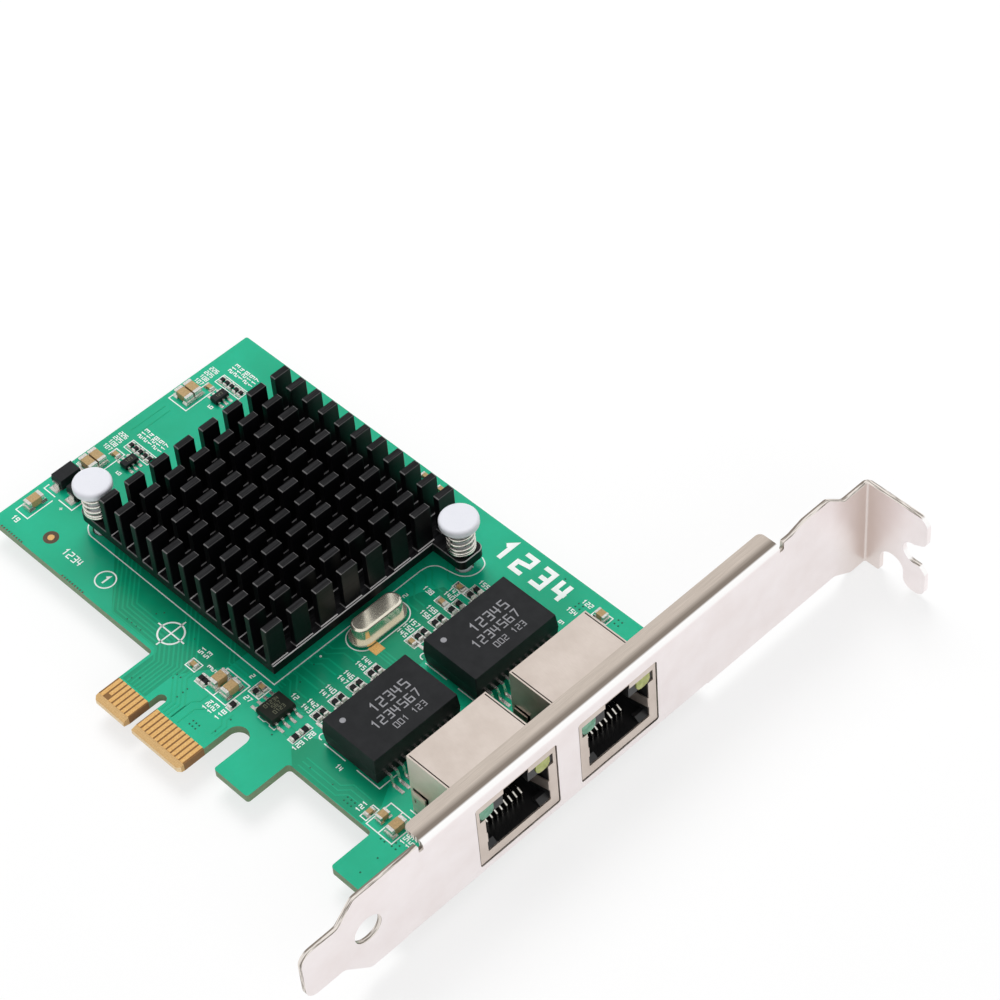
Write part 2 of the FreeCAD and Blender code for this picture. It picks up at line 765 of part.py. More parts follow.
def chip_part(x, y, case, along_y):
    """Body and its two metal ends, which wrap it a little on every side."""
    length, width, height = case
    cap = length * end_cap_share
    wrap = 0.03
    body = block(-length / 2 + cap, length / 2 - cap, -width / 2, width / 2, half_board, level(height))
    ends = []
    for side in (-1, 1):
        x0, x1 = sorted((side * length / 2, side * (length / 2 - cap)))
        ends.append(block(x0, x1, -width / 2 - wrap, width / 2 + wrap, half_board, level(height + wrap)))
    turn = FreeCAD.Rotation(Vector(0, 0, 1), 90 if along_y else 0)
    place = FreeCAD.Placement(Vector(x, y, 0), turn)
    return [shape.transformShape(place.toMatrix(), True) for shape in [body] + ends]


def chip_group(batches):
    """Bodies and ends of every part in batches of (case, places)."""
    bodies, ends = [], []
    for case, places in batches:
        for x, y, along_y in places:
            body, first, second = chip_part(x, y, case, along_y)
            bodies.append(body)
            ends += [first, second]
    return bodies, ends


def resistor_rows():
    return [(resistor_row_first_x + n * resistor_row_pitch, y, True)
            for y in resistor_row_ys for n in range(resistor_row_count)]


# Crystal

def crystal_leads_places():
    return [(crystal_x, crystal_y + side * crystal_lead_pitch / 2) for side in (-1, 1)]


def crystal():
    foot, flange_top = level(crystal_lift), level(crystal_lift + crystal_flange_height)
    flange = flat_prism(rounded_rectangle(crystal_x, crystal_y, crystal_flange_width, crystal_flange_length,
                                          crystal_flange_width / 2 - 0.01), foot, flange_top)
    can = flat_prism(rounded_rectangle(crystal_x, crystal_y, crystal_can_width, crystal_can_length,
                                       crystal_can_width / 2 - 0.01), foot, level(crystal_height))
    rim = [edge for edge in can.Edges if edge.BoundBox.ZMin > level(crystal_height) - 0.01]
    can = can.makeFillet(crystal_rim_round, rim)
    leads = [rod(x, y, -half_board - tail_below_board, foot, crystal_lead_diameter)
             for x, y in crystal_leads_places()]
    return joined([flange, can]), leads


# Controller, heatsink and push pins

def solder_balls():
    first = -(balls_per_row - 1) * ball_pitch / 2
    places = [first + n * ball_pitch for n in range(balls_per_row)]
    return [rod(heatsink_x + u, heatsink_y + v, half_board, level(ball_height), ball_diameter)
            for u in places for v in places]


def controller_chip():
    substrate = flat_prism(rounded_rectangle(heatsink_x, heatsink_y, chip_size, chip_size, 0),
                           level(ball_height), level(ball_height + substrate_thickness))
    cap = flat_prism(rounded_rectangle(heatsink_x, heatsink_y, chip_cap_size, chip_cap_size, 1.0),
                     level(ball_height + substrate_thickness), level(chip_height))
    return joined([substrate, cap])


def thermal_pad():
    corners = rounded_rectangle(heatsink_x, heatsink_y, chip_cap_size - 1, chip_cap_size - 1, 0)
    return flat_prism(corners, level(chip_height), level(base_bottom_rise))


def fin_places(count, first, last):
    """Lower edges of a row of fins that starts at first and whose last fin begins at last."""
    return [first + n * (last - first) / (count - 1) for n in range(count)]


def heatsink():
    """Cross-cut pin-fin block with a rounded ear for each push pin."""
    x0, x1 = heatsink_x - heatsink_length / 2, heatsink_x + heatsink_length / 2
    y0, y1 = heatsink_y - heatsink_width / 2, heatsink_y + heatsink_width / 2
    bottom, base_top, top = level(base_bottom_rise), level(base_top_rise), level(heatsink_top_rise)
    solid = block(x0, x1, y0, y1, bottom, top)
    columns = fin_places(fin_columns, x0 + fin_inset, x1 - fin_inset - fin_thickness)
    rows = fin_places(fin_rows, y0, y1 - fin_length)
    cuts = []
    for left, right in zip([x0 - 1 - fin_thickness] + columns, columns + [x1 + 1]):
        cuts.append(block(left + fin_thickness, right, y0 - 1, y1 + 1, base_top, top + 1))
    for low, high in zip(rows, rows[1:]):
        cuts.append(block(x0 - 1, x1 + 1, low + fin_length, high, base_top, top + 1))
    ears = [heatsink_ear(side) for side in (-1, 1)]
    holes = [rod(x, y, bottom - 1, base_top + 1, pin_hole_diameter) for x, y in pin_centres.values()]
    return joined([solid.cut(cuts)] + ears).cut(holes)


def heatsink_ear(side):
    """Ear on the low-X, low-Y corner for side -1 and on the opposite corner for side 1."""
    pin_x, pin_y = pin_centres["left" if side < 0 else "right"]
    root_x = heatsink_x + side * (heatsink_length / 2 - 1)
    tip_x = pin_x + side * ear_half_width
    low_y = max(pin_y - ear_half_width, heatsink_y - heatsink_width / 2)
    high_y = min(pin_y + ear_half_width, heatsink_y + heatsink_width / 2)
    corners = [(root_x, low_y, 0), (tip_x, low_y, ear_corner),
               (tip_x, high_y, ear_corner), (root_x, high_y, 0)]
    return flat_prism(corners, level(base_bottom_rise), level(base_top_rise))


def push_pin(x, y):
    """Nylon pin with a domed head and a split, barbed tip below the board."""
    shank, head, barb = pin_shank_diameter / 2, pin_head_diameter / 2, pin_barb_diameter / 2
    top = level(pin_top_rise)
    under_head = top - pin_head_height
    grip = -half_board - pin_barb_drop
    tip = grip - pin_tip_length
    neck = shank - pin_neck_relief
    corners = [
        (0, tip, 0), (shank * 0.55, tip, 0.3), (barb, grip - pin_barb_height, 0.2), (barb, grip, 0.1),
        (neck, grip, 0), (neck, under_head - pin_neck_length, 0), (shank, under_head, 0),
        (head, under_head, 0.25), (head, top, 0.55), (0, top, 0),
    ]
    pin = turned(corners, x, y)
    split = block(x - pin_split / 2, x + pin_split / 2, y - head, y + head, tip - 1, half_board)
    return pin.cut(split)


def push_pin_spring(x, y):
    """Coil spring between the heatsink's ear and the pin's head."""
    low = level(base_top_rise) + spring_wire / 2 + spring_seat_gap
    high = level(pin_top_rise - pin_head_height) - spring_wire / 2 - spring_seat_gap
    radius = (spring_diameter - spring_wire) / 2
    pitch = (high - low) / spring_turns
    helix = Part.makeLongHelix(pitch, high - low, radius)
    wire_section = Part.Wire(Part.makeCircle(spring_wire / 2, Vector(radius, 0, 0), Vector(0, 1, 0)))
    coil = Part.Wire(helix).makePipeShell([wire_section], True, True)
    coil.translate(Vector(x, y, low))
    return coil


def build():
    memory_body_shape, memory_leads = memory_chip()
    crystal_can, crystal_leads = crystal()
    nodes = {
        "circuit_board": [circuit_board()],
        "edge_contacts_component_side": edge_contacts(1),
        "edge_contacts_solder_side": edge_contacts(-1),
        "bracket": [bracket()],
        "bracket_screws": bracket_screws(),
        "controller_chip": [controller_chip()],
        "controller_solder_balls": solder_balls(),
        "thermal_pad": [thermal_pad()],
        "heatsink": [heatsink()],
        "memory_chip_body": [memory_body_shape],
        "memory_chip_leads": memory_leads,
        "crystal_can": [crystal_can],
        "crystal_leads": crystal_leads,
    }
    for name, (x, y) in pin_centres.items():
        nodes["push_pin_" + name] = [push_pin(x, y)]
        nodes["push_pin_spring_" + name] = [push_pin_spring(x, y)]
    for name, centre in zip(jack_names, jack_centres):
        contacts = jack_contacts(centre)
        green, yellow = jack_light(centre, -1), jack_light(centre, 1)
        nodes["jack_" + name + "_shield"] = [jack_shield(centre)]
        nodes["jack_" + name + "_contacts"] = contacts
        nodes["jack_" + name + "_green_light"] = [green]
        nodes["jack_" + name + "_yellow_light"] = [yellow]
        nodes["jack_" + name + "_housing"] = [jack_housing(centre, contacts + [green, yellow])]
        body, leads = magnetics(centre)
        nodes["magnetics_" + name + "_body"] = [body]
        nodes["magnetics_" + name + "_leads"] = leads
    for name, (x, y) in zip(jack_names, regulator_places):
        body, leads = regulator(x, y)
        nodes["regulator_" + name + "_body"] = [body]
        nodes["regulator_" + name + "_leads"] = leads
    for name, (x, y) in zip(("outer", "inner"), diode_places):
        body, leads = diode(x, y)
        nodes["diode_" + name + "_body"] = [body]
        nodes["diode_" + name + "_leads"] = leads
    bodies, ends = chip_group([(large_case, large_capacitor_places)])
    nodes["large_capacitor_bodies"], nodes["large_capacitor_ends"] = bodies, ends
    bodies, ends = chip_group([(medium_case, medium_capacitor_places), (small_case, small_capacitor_places)])
    nodes["small_capacitor_bodies"], nodes["small_capacitor_ends"] = bodies, ends
    bodies, ends = chip_group([(small_case, resistor_places), (tiny_case, resistor_rows())])
    nodes["resistor_bodies"], nodes["resistor_ends"] = bodies, ends
    return nodes


def main():
    os.makedirs("parts", exist_ok=True)
    for name, shapes in build().items():
        shape = shapes[0] if len(shapes) == 1 else Part.makeCompound(shapes)
        shape.exportStep("parts/" + name + ".step")
        print(name, len(shape.Solids), "solids", round(shape.Volume, 2), "mm3", shape.isValid())


main()
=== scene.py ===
import math

import bmesh
import bpy
from mathutils import Matrix, Vector


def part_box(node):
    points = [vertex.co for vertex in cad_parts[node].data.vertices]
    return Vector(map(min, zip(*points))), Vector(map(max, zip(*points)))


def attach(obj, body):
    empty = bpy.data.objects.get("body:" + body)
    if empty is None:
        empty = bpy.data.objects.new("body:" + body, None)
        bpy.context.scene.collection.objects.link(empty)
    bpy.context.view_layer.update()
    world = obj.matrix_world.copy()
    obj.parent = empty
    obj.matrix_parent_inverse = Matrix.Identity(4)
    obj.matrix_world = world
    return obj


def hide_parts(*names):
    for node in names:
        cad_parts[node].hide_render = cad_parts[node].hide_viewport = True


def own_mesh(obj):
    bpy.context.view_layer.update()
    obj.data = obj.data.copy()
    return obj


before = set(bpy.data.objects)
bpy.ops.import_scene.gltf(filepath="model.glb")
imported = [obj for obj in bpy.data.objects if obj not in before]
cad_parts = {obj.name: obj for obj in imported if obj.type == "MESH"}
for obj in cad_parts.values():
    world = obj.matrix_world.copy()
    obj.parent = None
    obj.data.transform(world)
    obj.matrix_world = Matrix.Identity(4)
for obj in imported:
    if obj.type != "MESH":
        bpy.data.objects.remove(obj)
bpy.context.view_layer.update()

MM = 0.001
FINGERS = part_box("edge_contacts_component_side")[0]

# Heights in metres
TOP = FINGERS.z                                     # the board's component side
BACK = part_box("edge_contacts_solder_side")[1].z     # and its solder side
LOWEST = min(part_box(node)[0].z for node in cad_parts)

# Places and sizes on the card, in millimetres, apart from FOOT
FOOT = 3.3 * MM             # height of the board's feet above the tip of its tongue
FINGER_END = FINGERS.y / MM
MASK_START_Y = 5.15         # the tongue is bare up to here
TONGUE_END_X = 14.0
SHEET = 0.86                # thickness of the bracket
BALL_PITCH = 1.27           # of the controller's solder balls
FLANGE_END_X = FINGERS.x / MM + 66.0
FACE_X = FLANGE_END_X + 0.6
FOLD_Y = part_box("bracket")[1].y / MM - SHEET - 0.3

# Thickness of what lies on the board
SKIN_HEIGHT = 0.008 * MM    # another shade of the mask
COPPER_HEIGHT = 0.03 * MM
VIA_HEIGHT = COPPER_HEIGHT * 1.3
PRINT_HEIGHT = 0.035 * MM
PAD_HEIGHT = 0.05 * MM
LAYER = 0.006 * MM          # between strokes of one digit that cross, so that no two tops coincide

# Widths of printed lines, in millimetres
PRINT_WIDTH = 0.2
FINE_WIDTH = 0.16


# ---------------------------------------------------------------- materials

def srgb(red, green, blue):
    """Linear colour of an 8-bit display colour."""
    def linear(value):
        value /= 255
        return value / 12.92 if value <= 0.04045 else ((value + 0.055) / 1.055) ** 2.4
    return linear(red), linear(green), linear(blue), 1.0


class Look:
    """A Principled material with short calls for the nodes that feed it. Patterns are in millimetres."""

    def __init__(self, name, color, roughness=0.5, metallic=0.0, **sockets):
        self.material = bpy.data.materials.new(name)
        self.material.use_nodes = True
        self.tree = self.material.node_tree
        self.shader = self.tree.nodes["Principled BSDF"]
        self.set("Base Color", color)
        self.set("Roughness", roughness)
        self.set("Metallic", metallic)
        for socket, value in sockets.items():
            self.set(socket.replace("_", " "), value)
        self.height = None
        self.coordinates = self.tree.nodes.new("ShaderNodeTexCoord")
        self.place = self.tree.nodes.new("ShaderNodeMapping")
        self.place.inputs["Scale"].default_value = (1000, 1000, 1000)
        self.tree.links.new(self.coordinates.outputs["Object"], self.place.inputs["Vector"])

    def set(self, socket, value):
        if isinstance(value, bpy.types.NodeSocket):
            self.tree.links.new(value, self.shader.inputs[socket])
        else:
            self.shader.inputs[socket].default_value = value

    def stretched(self, scale):
        node = self.tree.nodes.new("ShaderNodeMapping")
        node.inputs["Scale"].default_value = scale
        self.tree.links.new(self.place.outputs["Vector"], node.inputs["Vector"])
        return node.outputs["Vector"]

    def noise(self, scale, detail, roughness=0.55, stretch=(1, 1, 1)):
        node = self.tree.nodes.new("ShaderNodeTexNoise")
        node.inputs["Scale"].default_value = scale
        node.inputs["Detail"].default_value = detail
        node.inputs["Roughness"].default_value = roughness
        self.tree.links.new(self.stretched(stretch), node.inputs["Vector"])
        return node.outputs["Fac"]

    def waves(self, scale, direction, distortion):
        node = self.tree.nodes.new("ShaderNodeTexWave")
        node.bands_direction = direction
        node.inputs["Scale"].default_value = scale
        node.inputs["Distortion"].default_value = distortion
        self.tree.links.new(self.place.outputs["Vector"], node.inputs["Vector"])
        return node.outputs["Fac"]

    def span(self, value, low, high, first=0.0, last=1.0):
        """value between low and high becomes first to last."""
        node = self.tree.nodes.new("ShaderNodeMapRange")
        self.tree.links.new(value, node.inputs["Value"])
        for socket, number in zip(("From Min", "From Max", "To Min", "To Max"), (low, high, first, last)):
            node.inputs[socket].default_value = number
        return node.outputs["Result"]

    def math(self, operation, first, second=0.0):
        node = self.tree.nodes.new("ShaderNodeMath")
        node.operation = operation
        for index, value in enumerate((first, second)):
            if isinstance(value, bpy.types.NodeSocket):
                self.tree.links.new(value, node.inputs[index])
            else:
                node.inputs[index].default_value = value
        return node.outputs["Value"]

    def mix(self, share, first, second):
        node = self.tree.nodes.new("ShaderNodeMix")
        node.data_type = "RGBA"
        for socket, value in zip(("Factor", "A", "B"), (share, first, second)):
            inputs = [s for s in node.inputs if s.name == socket and s.enabled]
            if isinstance(value, bpy.types.NodeSocket):
                self.tree.links.new(value, inputs[0])
            else:
                inputs[0].default_value = value
        return [s for s in node.outputs if s.enabled][0]

    def axis(self, name):
        """One coordinate in millimetres."""
        node = self.tree.nodes.new("ShaderNodeSeparateXYZ")
        self.tree.links.new(self.place.outputs["Vector"], node.inputs["Vector"])
        return node.outputs[name]

    def facing(self, name):
        """How far the surface faces along one axis of the part, from -1 to 1."""
        node = self.tree.nodes.new("ShaderNodeSeparateXYZ")
        self.tree.links.new(self.coordinates.outputs["Normal"], node.inputs["Vector"])
        return node.outputs[name]

    def bump(self, height, strength, distance):
        """Adds fine relief, with distance in millimetres."""
        node = self.tree.nodes.new("ShaderNodeBump")
        node.inputs["Strength"].default_value = strength
        node.inputs["Distance"].default_value = distance * MM
        self.tree.links.new(height, node.inputs["Height"])
        if self.height is not None:
            self.tree.links.new(self.height, node.inputs["Normal"])
        self.height = node.outputs["Normal"]
        self.set("Normal", self.height)


def mask_green(name, light, dark, gloss):
    """Solder mask: a glossy green film over woven laminate, a little uneven."""
    look = Look(name, light, gloss, Specular_IOR_Level=0.3)
    cloud = look.noise(0.05, 2.0)
    patch = look.noise(0.9, 4.0)
    weave = look.math("MULTIPLY", look.waves(1.15, "X", 0.4), look.waves(1.15, "Y", 0.4))
    color = look.mix(look.span(cloud, 0.35, 0.7), light, dark)
    color = look.mix(look.span(weave, 0.0, 1.0, 0.0, 0.12), color, light)
    look.set("Base Color", look.mix(look.span(patch, 0.3, 0.8, 0.0, 0.25), color, dark))
    look.set("Roughness", look.span(patch, 0.3, 0.8, gloss * 0.8, gloss * 1.4))
    look.bump(weave, 0.12, 0.02)
    look.bump(patch, 0.1, 0.03)
    return look


def board_look():
    """Green mask on the faces, bare laminate on the tongue and weathered laminate round the rim, with a
    painted highlight that lightens the tongue's front and bevel faces.
    """
    look = mask_green("board", srgb(20, 182, 142), srgb(10, 160, 120), 0.17)
    mask = look.shader.inputs["Base Color"].links[0].from_socket
    weave = look.math("MULTIPLY", look.waves(0.9, "X", 1.5), look.waves(0.9, "Y", 1.5))
    fibres = look.noise(3.0, 5.0, stretch=(1, 1, 9))
    bare = look.mix(look.span(weave, 0, 1, 0, 0.5), srgb(222, 184, 128), srgb(198, 158, 100))
    bare = look.mix(look.span(fibres, 0.3, 0.75, 0, 0.5), bare, srgb(158, 122, 78))
    rim = look.mix(look.span(fibres, 0.3, 0.75), srgb(136, 160, 126), srgb(92, 118, 86))
    bare = look.mix(look.math("GREATER_THAN", look.axis("Y"), FINGER_END), bare, srgb(134, 98, 60))
    low = look.math("LESS_THAN", look.axis("Y"), MASK_START_Y)
    beside = look.math("LESS_THAN", look.axis("X"), TONGUE_END_X)
    tongue = look.math("MULTIPLY", low, beside)
    on_face = look.math("GREATER_THAN", look.math("ABSOLUTE", look.facing("Z")), 0.35)
    face = look.mix(tongue, mask, bare)
    # Painted highlight: on the tongue, faces that face along Y get a lighter laminate colour.
    front = look.span(look.math("ABSOLUTE", look.facing("Y")), 0.3, 0.6)
    bevel = look.mix(look.span(fibres, 0.3, 0.75), srgb(250, 226, 184), srgb(226, 194, 146))
    edge = look.mix(tongue, rim, look.mix(front, bare, bevel))
    look.set("Base Color", look.mix(on_face, edge, face))
    rough = look.math("SUBTRACT", 1.0, look.math("MULTIPLY", on_face, look.math("SUBTRACT", 1.0, tongue)))
    look.set("Roughness", look.span(rough, 0, 1, 0.17, 0.6))
    look.bump(fibres, 0.1, 0.02)
    return look


def sheet_metal(name, color, other, roughness, brush, depth):
    """Plated sheet with a fine rolled grain, stretched by brush, and faint clouding."""
    look = Look(name, color, roughness, 1.0)
    grain = look.noise(9.0, 4.0, 0.65, brush)
    cloud = look.noise(0.16, 3.0)
    speck = look.noise(26.0, 2.0)
    tone = look.mix(look.span(cloud, 0.35, 0.7), color, other)
    look.set("Base Color", look.mix(look.span(grain, 0.35, 0.75, 0, 0.35), tone, other))
    look.set("Roughness", look.span(grain, 0.3, 0.75, roughness * 0.85, roughness * 1.25))
    look.bump(grain, depth, 0.012)
    look.bump(speck, depth * 0.6, 0.006)
    return look


def bracket_look():
    """Bright plated faces with painted shade towards the fold, a brushed flange with a painted darker tone,
    a painted dark band before the bend and a painted highlight on the bend, and streaked sheared edges.
    """
    look = sheet_metal("bracket", srgb(251, 244, 244), srgb(245, 236, 235), 0.34, (1, 0.08, 1), 0.2)
    face = look.shader.inputs["Base Color"].links[0].from_socket
    inboard = look.math("LESS_THAN", look.axis("X"), FLANGE_END_X)
    past_fold = look.math("GREATER_THAN", look.axis("Y"), FOLD_Y)
    before_fold = look.math("SUBTRACT", 1.0, past_fold)
    level = look.span(look.math("ABSOLUTE", look.facing("Z")), 0.8, 0.96)
    upright = look.span(look.math("ABSOLUTE", look.facing("Y")), 0.8, 0.96)
    narrow = look.span(look.math("ABSOLUTE", look.facing("X")), 0.45, 0.2)
    flange = look.math("MULTIPLY", inboard, level)
    tab = look.math("MULTIPLY", past_fold, upright)
    cut = look.math("MULTIPLY", narrow, look.math("SUBTRACT", 1.0, look.math("MAXIMUM", flange, tab)))
    brushed = look.noise(8.0, 4.0, 0.7, (1.8, 0.02, 1))
    # Painted highlight on the outer bend, where the surface turns from the flange down to the face.
    rising = look.span(look.facing("Z"), 0.2, 0.45)
    painted_bend_highlight = look.math("MULTIPLY", rising, look.span(look.math("ABSOLUTE", look.facing("X")), 0.2, 0.45))
    torn_face = look.math("MULTIPLY", before_fold, look.noise(4.0, 3.0, 0.6, (1, 0.05, 0.05)))
    torn_tab = look.math("MULTIPLY", past_fold, look.noise(4.0, 3.0, 0.6, (0.05, 1, 0.05)))
    torn = look.math("ADD", torn_face, torn_tab)
    # The flange's brushed grain is real; its darker tone than the face is painted shade, and so is the dark
    # band just before the bend.
    painted_shade_before_bend = look.span(look.axis("X"), FLANGE_END_X - 1.8, FLANGE_END_X - 0.8, 0.0, 0.8)
    dull = look.mix(look.span(brushed, 0.3, 0.7), srgb(214, 202, 191), srgb(186, 174, 163))
    dull = look.mix(painted_shade_before_bend, dull, srgb(112, 102, 92))
    sheared = look.mix(look.span(torn, 0.46, 0.6), srgb(236, 229, 222), srgb(126, 117, 108))
    # Painted shade and reflection: the face and the tab darken towards the fold's inside corner.
    near_face = look.span(look.axis("Y"), FOLD_Y - 8.0, FOLD_Y - 1.0, 0.0, 0.55)
    near_tab = look.span(look.axis("X"), FACE_X + 8.0, FACE_X + 1.0, 0.0, 0.55)
    painted_fold_shade = look.math("ADD", look.math("MULTIPLY", before_fold, near_face),
                       look.math("MULTIPLY", past_fold, near_tab))
    face = look.mix(painted_fold_shade, face, srgb(214, 200, 190))
    surface = look.mix(painted_bend_highlight, look.mix(flange, face, dull), srgb(255, 254, 253))
    look.set("Base Color", look.mix(cut, surface, sheared))
    look.set("Roughness", look.span(cut, 0, 1, 0.34, 0.5))
    return look


def shield_look():
    """Rolled sheet, with painted shade on the walls that face each other between the two sockets."""
    look = sheet_metal("shield", srgb(224, 212, 203), srgb(208, 195, 185), 0.42, (0.1, 1, 1), 0.25)
    plain = look.shader.inputs["Base Color"].links[0].from_socket
    start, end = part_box("jack_lower_shield")[1].y / MM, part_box("jack_upper_shield")[0].y / MM
    past = look.math("GREATER_THAN", look.axis("Y"), start - 0.1)
    before = look.math("LESS_THAN", look.axis("Y"), end + 0.1)
    wall = look.span(look.math("ABSOLUTE", look.facing("Y")), 0.7, 0.9)
    share = look.math("MULTIPLY", look.math("MULTIPLY", past, before), wall)
    # Painted shade: the facing walls between the sockets are darkened.
    look.set("Base Color", look.mix(share, plain, srgb(100, 102, 88)))
    return look


def moulded(name, color, roughness, grain=14.0, depth=0.35, clouding=0.7, **sockets):
    """Moulded plastic or epoxy with a fine matt skin."""
    look = Look(name, color, roughness, **sockets)
    skin = look.noise(grain, 3.0)
    cloud = look.noise(0.5, 2.0)
    paler = tuple(min(1.0, channel * 1.35 + 0.004) for channel in color[:3]) + (1.0,)
    look.set("Base Color", look.mix(look.span(cloud, 0.35, 0.7, 0, clouding), color, paler))
    look.set("Roughness", look.span(skin, 0.3, 0.7, roughness * 0.88, min(1.0, roughness * 1.12)))
    look.bump(skin, depth, 0.012)
    return look


def plated(name, color, roughness, dull=None):
    """Small plated or soldered metal."""
    look = Look(name, color, roughness, 1.0)
    ripple = look.noise(5.0, 3.0)
    dull = dull or tuple(channel * 0.72 for channel in color[:3]) + (1.0,)
    look.set("Base Color", look.mix(look.span(ripple, 0.35, 0.7), color, dull))
    look.set("Roughness", look.span(ripple, 0.3, 0.7, roughness * 0.75, roughness * 1.4))
    look.bump(ripple, 0.3, 0.03)
    return look


def anodised():
    """Black anodised extrusion, with drawing lines along Y and painted highlights on its chamfered upper
    edges, strongest on the side that faces +X.
    """
    look = Look("heatsink", srgb(10, 10, 12), 0.34, 0.0, Specular_IOR_Level=0.17)
    lines = look.noise(2.4, 4.0, 0.75, (1, 0.03, 1))
    dust = look.noise(16.0, 2.0)
    top = look.span(look.facing("Z"), 0.9, 0.98)
    upper = look.span(look.facing("Z"), 0.3, 0.6)
    chamfer = look.math("MULTIPLY", upper, look.math("SUBTRACT", 1.0, top))
    # Painted highlight on the chamfered upper edges, weaker on the sides that face away from +X.
    edge = look.math("MULTIPLY", look.span(look.facing("X"), 0.0, 0.6, 0.25, 1.0), chamfer)
    streaks = look.math("MULTIPLY", top, look.span(lines, 0.45, 0.62))
    color = look.mix(streaks, srgb(7, 7, 9), srgb(32, 32, 34))
    look.set("Base Color", look.mix(look.math("MULTIPLY", edge, look.span(lines, 0.3, 0.6, 0.5, 1.0)), color,
                                    srgb(214, 212, 212)))
    look.set("Roughness", look.span(lines, 0.3, 0.75, 0.28, 0.46))
    look.bump(lines, 0.4, 0.02)
    look.bump(dust, 0.15, 0.006)
    return look


def ceramic_look(name, color, other, gloss=0.5):
    look = Look(name, color, 0.42, Specular_IOR_Level=gloss)
    grain = look.noise(4.0, 4.0)
    look.set("Base Color", look.mix(look.span(grain, 0.35, 0.7), color, other))
    look.bump(look.noise(12.0, 2.0), 0.3, 0.01)
    return look


def lens_look(name, color, core):
    look = Look(name, color, 0.22, Transmission_Weight=0.25, Subsurface_Weight=0.2, Specular_IOR_Level=0.5)
    glow = look.noise(0.8, 2.0)
    look.set("Base Color", look.mix(look.span(glow, 0.35, 0.65), color, core))
    look.bump(look.noise(3.0, 2.0), 0.15, 0.02)
    return look


def contact_look(node):
    """A painted glint along the middle of each contact wire, and painted shade on its flanks."""
    low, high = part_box(node)
    wire = 0.46
    pitch = ((high.y - low.y) / MM - wire) / 7
    look = plated(node, srgb(236, 234, 228), 0.22, srgb(196, 190, 178))
    bright = look.shader.inputs["Base Color"].links[0].from_socket
    along = look.math("SUBTRACT", look.axis("Y"), low.y / MM + wire / 2)
    aside = look.math("PINGPONG", along, pitch / 2)
    # Painted glint: the plating shows only in a thin strip along each wire's middle, and its flanks are
    # painted dark as shade.
    look.set("Base Color", look.mix(look.span(aside, 0.08, 0.14), bright, srgb(44, 42, 38)))
    return look


green_board = board_look()
trace_green = mask_green("board_traces", srgb(18, 172, 130), srgb(10, 156, 114), 0.2)
dark_green = mask_green("board_clear", srgb(8, 152, 114), srgb(5, 138, 98), 0.2)
# A darker mask colour, painted shade between the sockets
painted_shade_green = mask_green("board_painted_shade", srgb(5, 74, 50), srgb(4, 62, 42), 0.25)
via_green = mask_green("board_vias", srgb(6, 92, 66), srgb(4, 76, 54), 0.3)
gold = plated("gold", srgb(238, 196, 132), 0.28, srgb(214, 160, 92))
tin = plated("tin", srgb(240, 238, 232), 0.24, srgb(178, 176, 170))
nickel_face = bracket_look()
nickel_shield = shield_look()
steel = plated("screw", srgb(206, 204, 200), 0.25)
epoxy = moulded("epoxy", srgb(24, 25, 27), 0.5, 16.0, Specular_IOR_Level=0.22)
epoxy_smooth = moulded("epoxy_smooth", srgb(20, 24, 18), 0.45, 10.0, Specular_IOR_Level=0.2)
pad_grey = moulded("thermal_pad", srgb(120, 124, 130), 0.8, 3.0)
can_metal = sheet_metal("crystal_can", srgb(242, 236, 220), srgb(224, 218, 200), 0.2, (1, 0.1, 1), 0.02)
can_metal.set("Metallic", 0.88)
nylon = moulded("nylon", srgb(224, 225, 232), 0.3, 6.0, 0.08, 0.06,
                Subsurface_Weight=0.1, Specular_IOR_Level=0.4)
nylon.set("Subsurface Radius", (0.0008, 0.0008, 0.0008))
spring_wire = plated("spring", srgb(236, 232, 226), 0.2, srgb(204, 198, 190))
black_nylon = moulded("socket_black", srgb(20, 20, 21), 0.38, 8.0, 0.2)
fins = anodised()
tan = ceramic_look("capacitor", srgb(188, 158, 112), srgb(160, 134, 90))
dark_ceramic = ceramic_look("resistor", srgb(24, 24, 26), srgb(14, 14, 16), 0.25)
green_lens = lens_look("green_lens", srgb(132, 196, 160), srgb(96, 166, 128))
yellow_lens = lens_look("yellow_lens", srgb(214, 214, 120), srgb(184, 184, 84))
print_white = moulded("print", srgb(232, 240, 236), 0.6, 10.0, 0.3)
print_grey = moulded("chip_print", srgb(138, 138, 142), 0.6, 10.0, 0.3)
print_faint = moulded("small_chip_print", srgb(92, 94, 76), 0.6, 10.0, 0.3)

LOOKS = {
    "circuit_board": green_board, "edge_contacts": gold, "bracket_screws": steel, "bracket": nickel_face,
    "controller_chip": epoxy, "controller_solder_balls": tin, "thermal_pad": pad_grey, "heatsink": fins,
    "memory_chip_body": epoxy_smooth, "crystal_can": can_metal, "push_pin": nylon,
    "push_pin_spring": spring_wire, "jack_lower_contacts": contact_look("jack_lower_contacts"),
    "jack_upper_contacts": contact_look("jack_upper_contacts"), "large_capacitor_bodies": tan,
    "small_capacitor_bodies": tan, "resistor_bodies": dark_ceramic,
}
ENDINGS = {
    "_shield": nickel_shield, "_green_light": green_lens, "_yellow_light": yellow_lens,
    "_housing": black_nylon, "_leads": tin, "_ends": tin, "_body": epoxy,
}


def look_of(node):
    """The look of a CAD node, from the longest start that fits its name, or else from its ending."""
    for start in sorted(LOOKS, key=len, reverse=True):
        if node.startswith(start):
            return LOOKS[start]
    return next(look for ending, look in ENDINGS.items() if node.endswith(ending))


for name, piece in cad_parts.items():
    if not piece.material_slots:
        piece.data.materials.append(None)
    for slot in piece.material_slots:
        slot.material = look_of(name).material


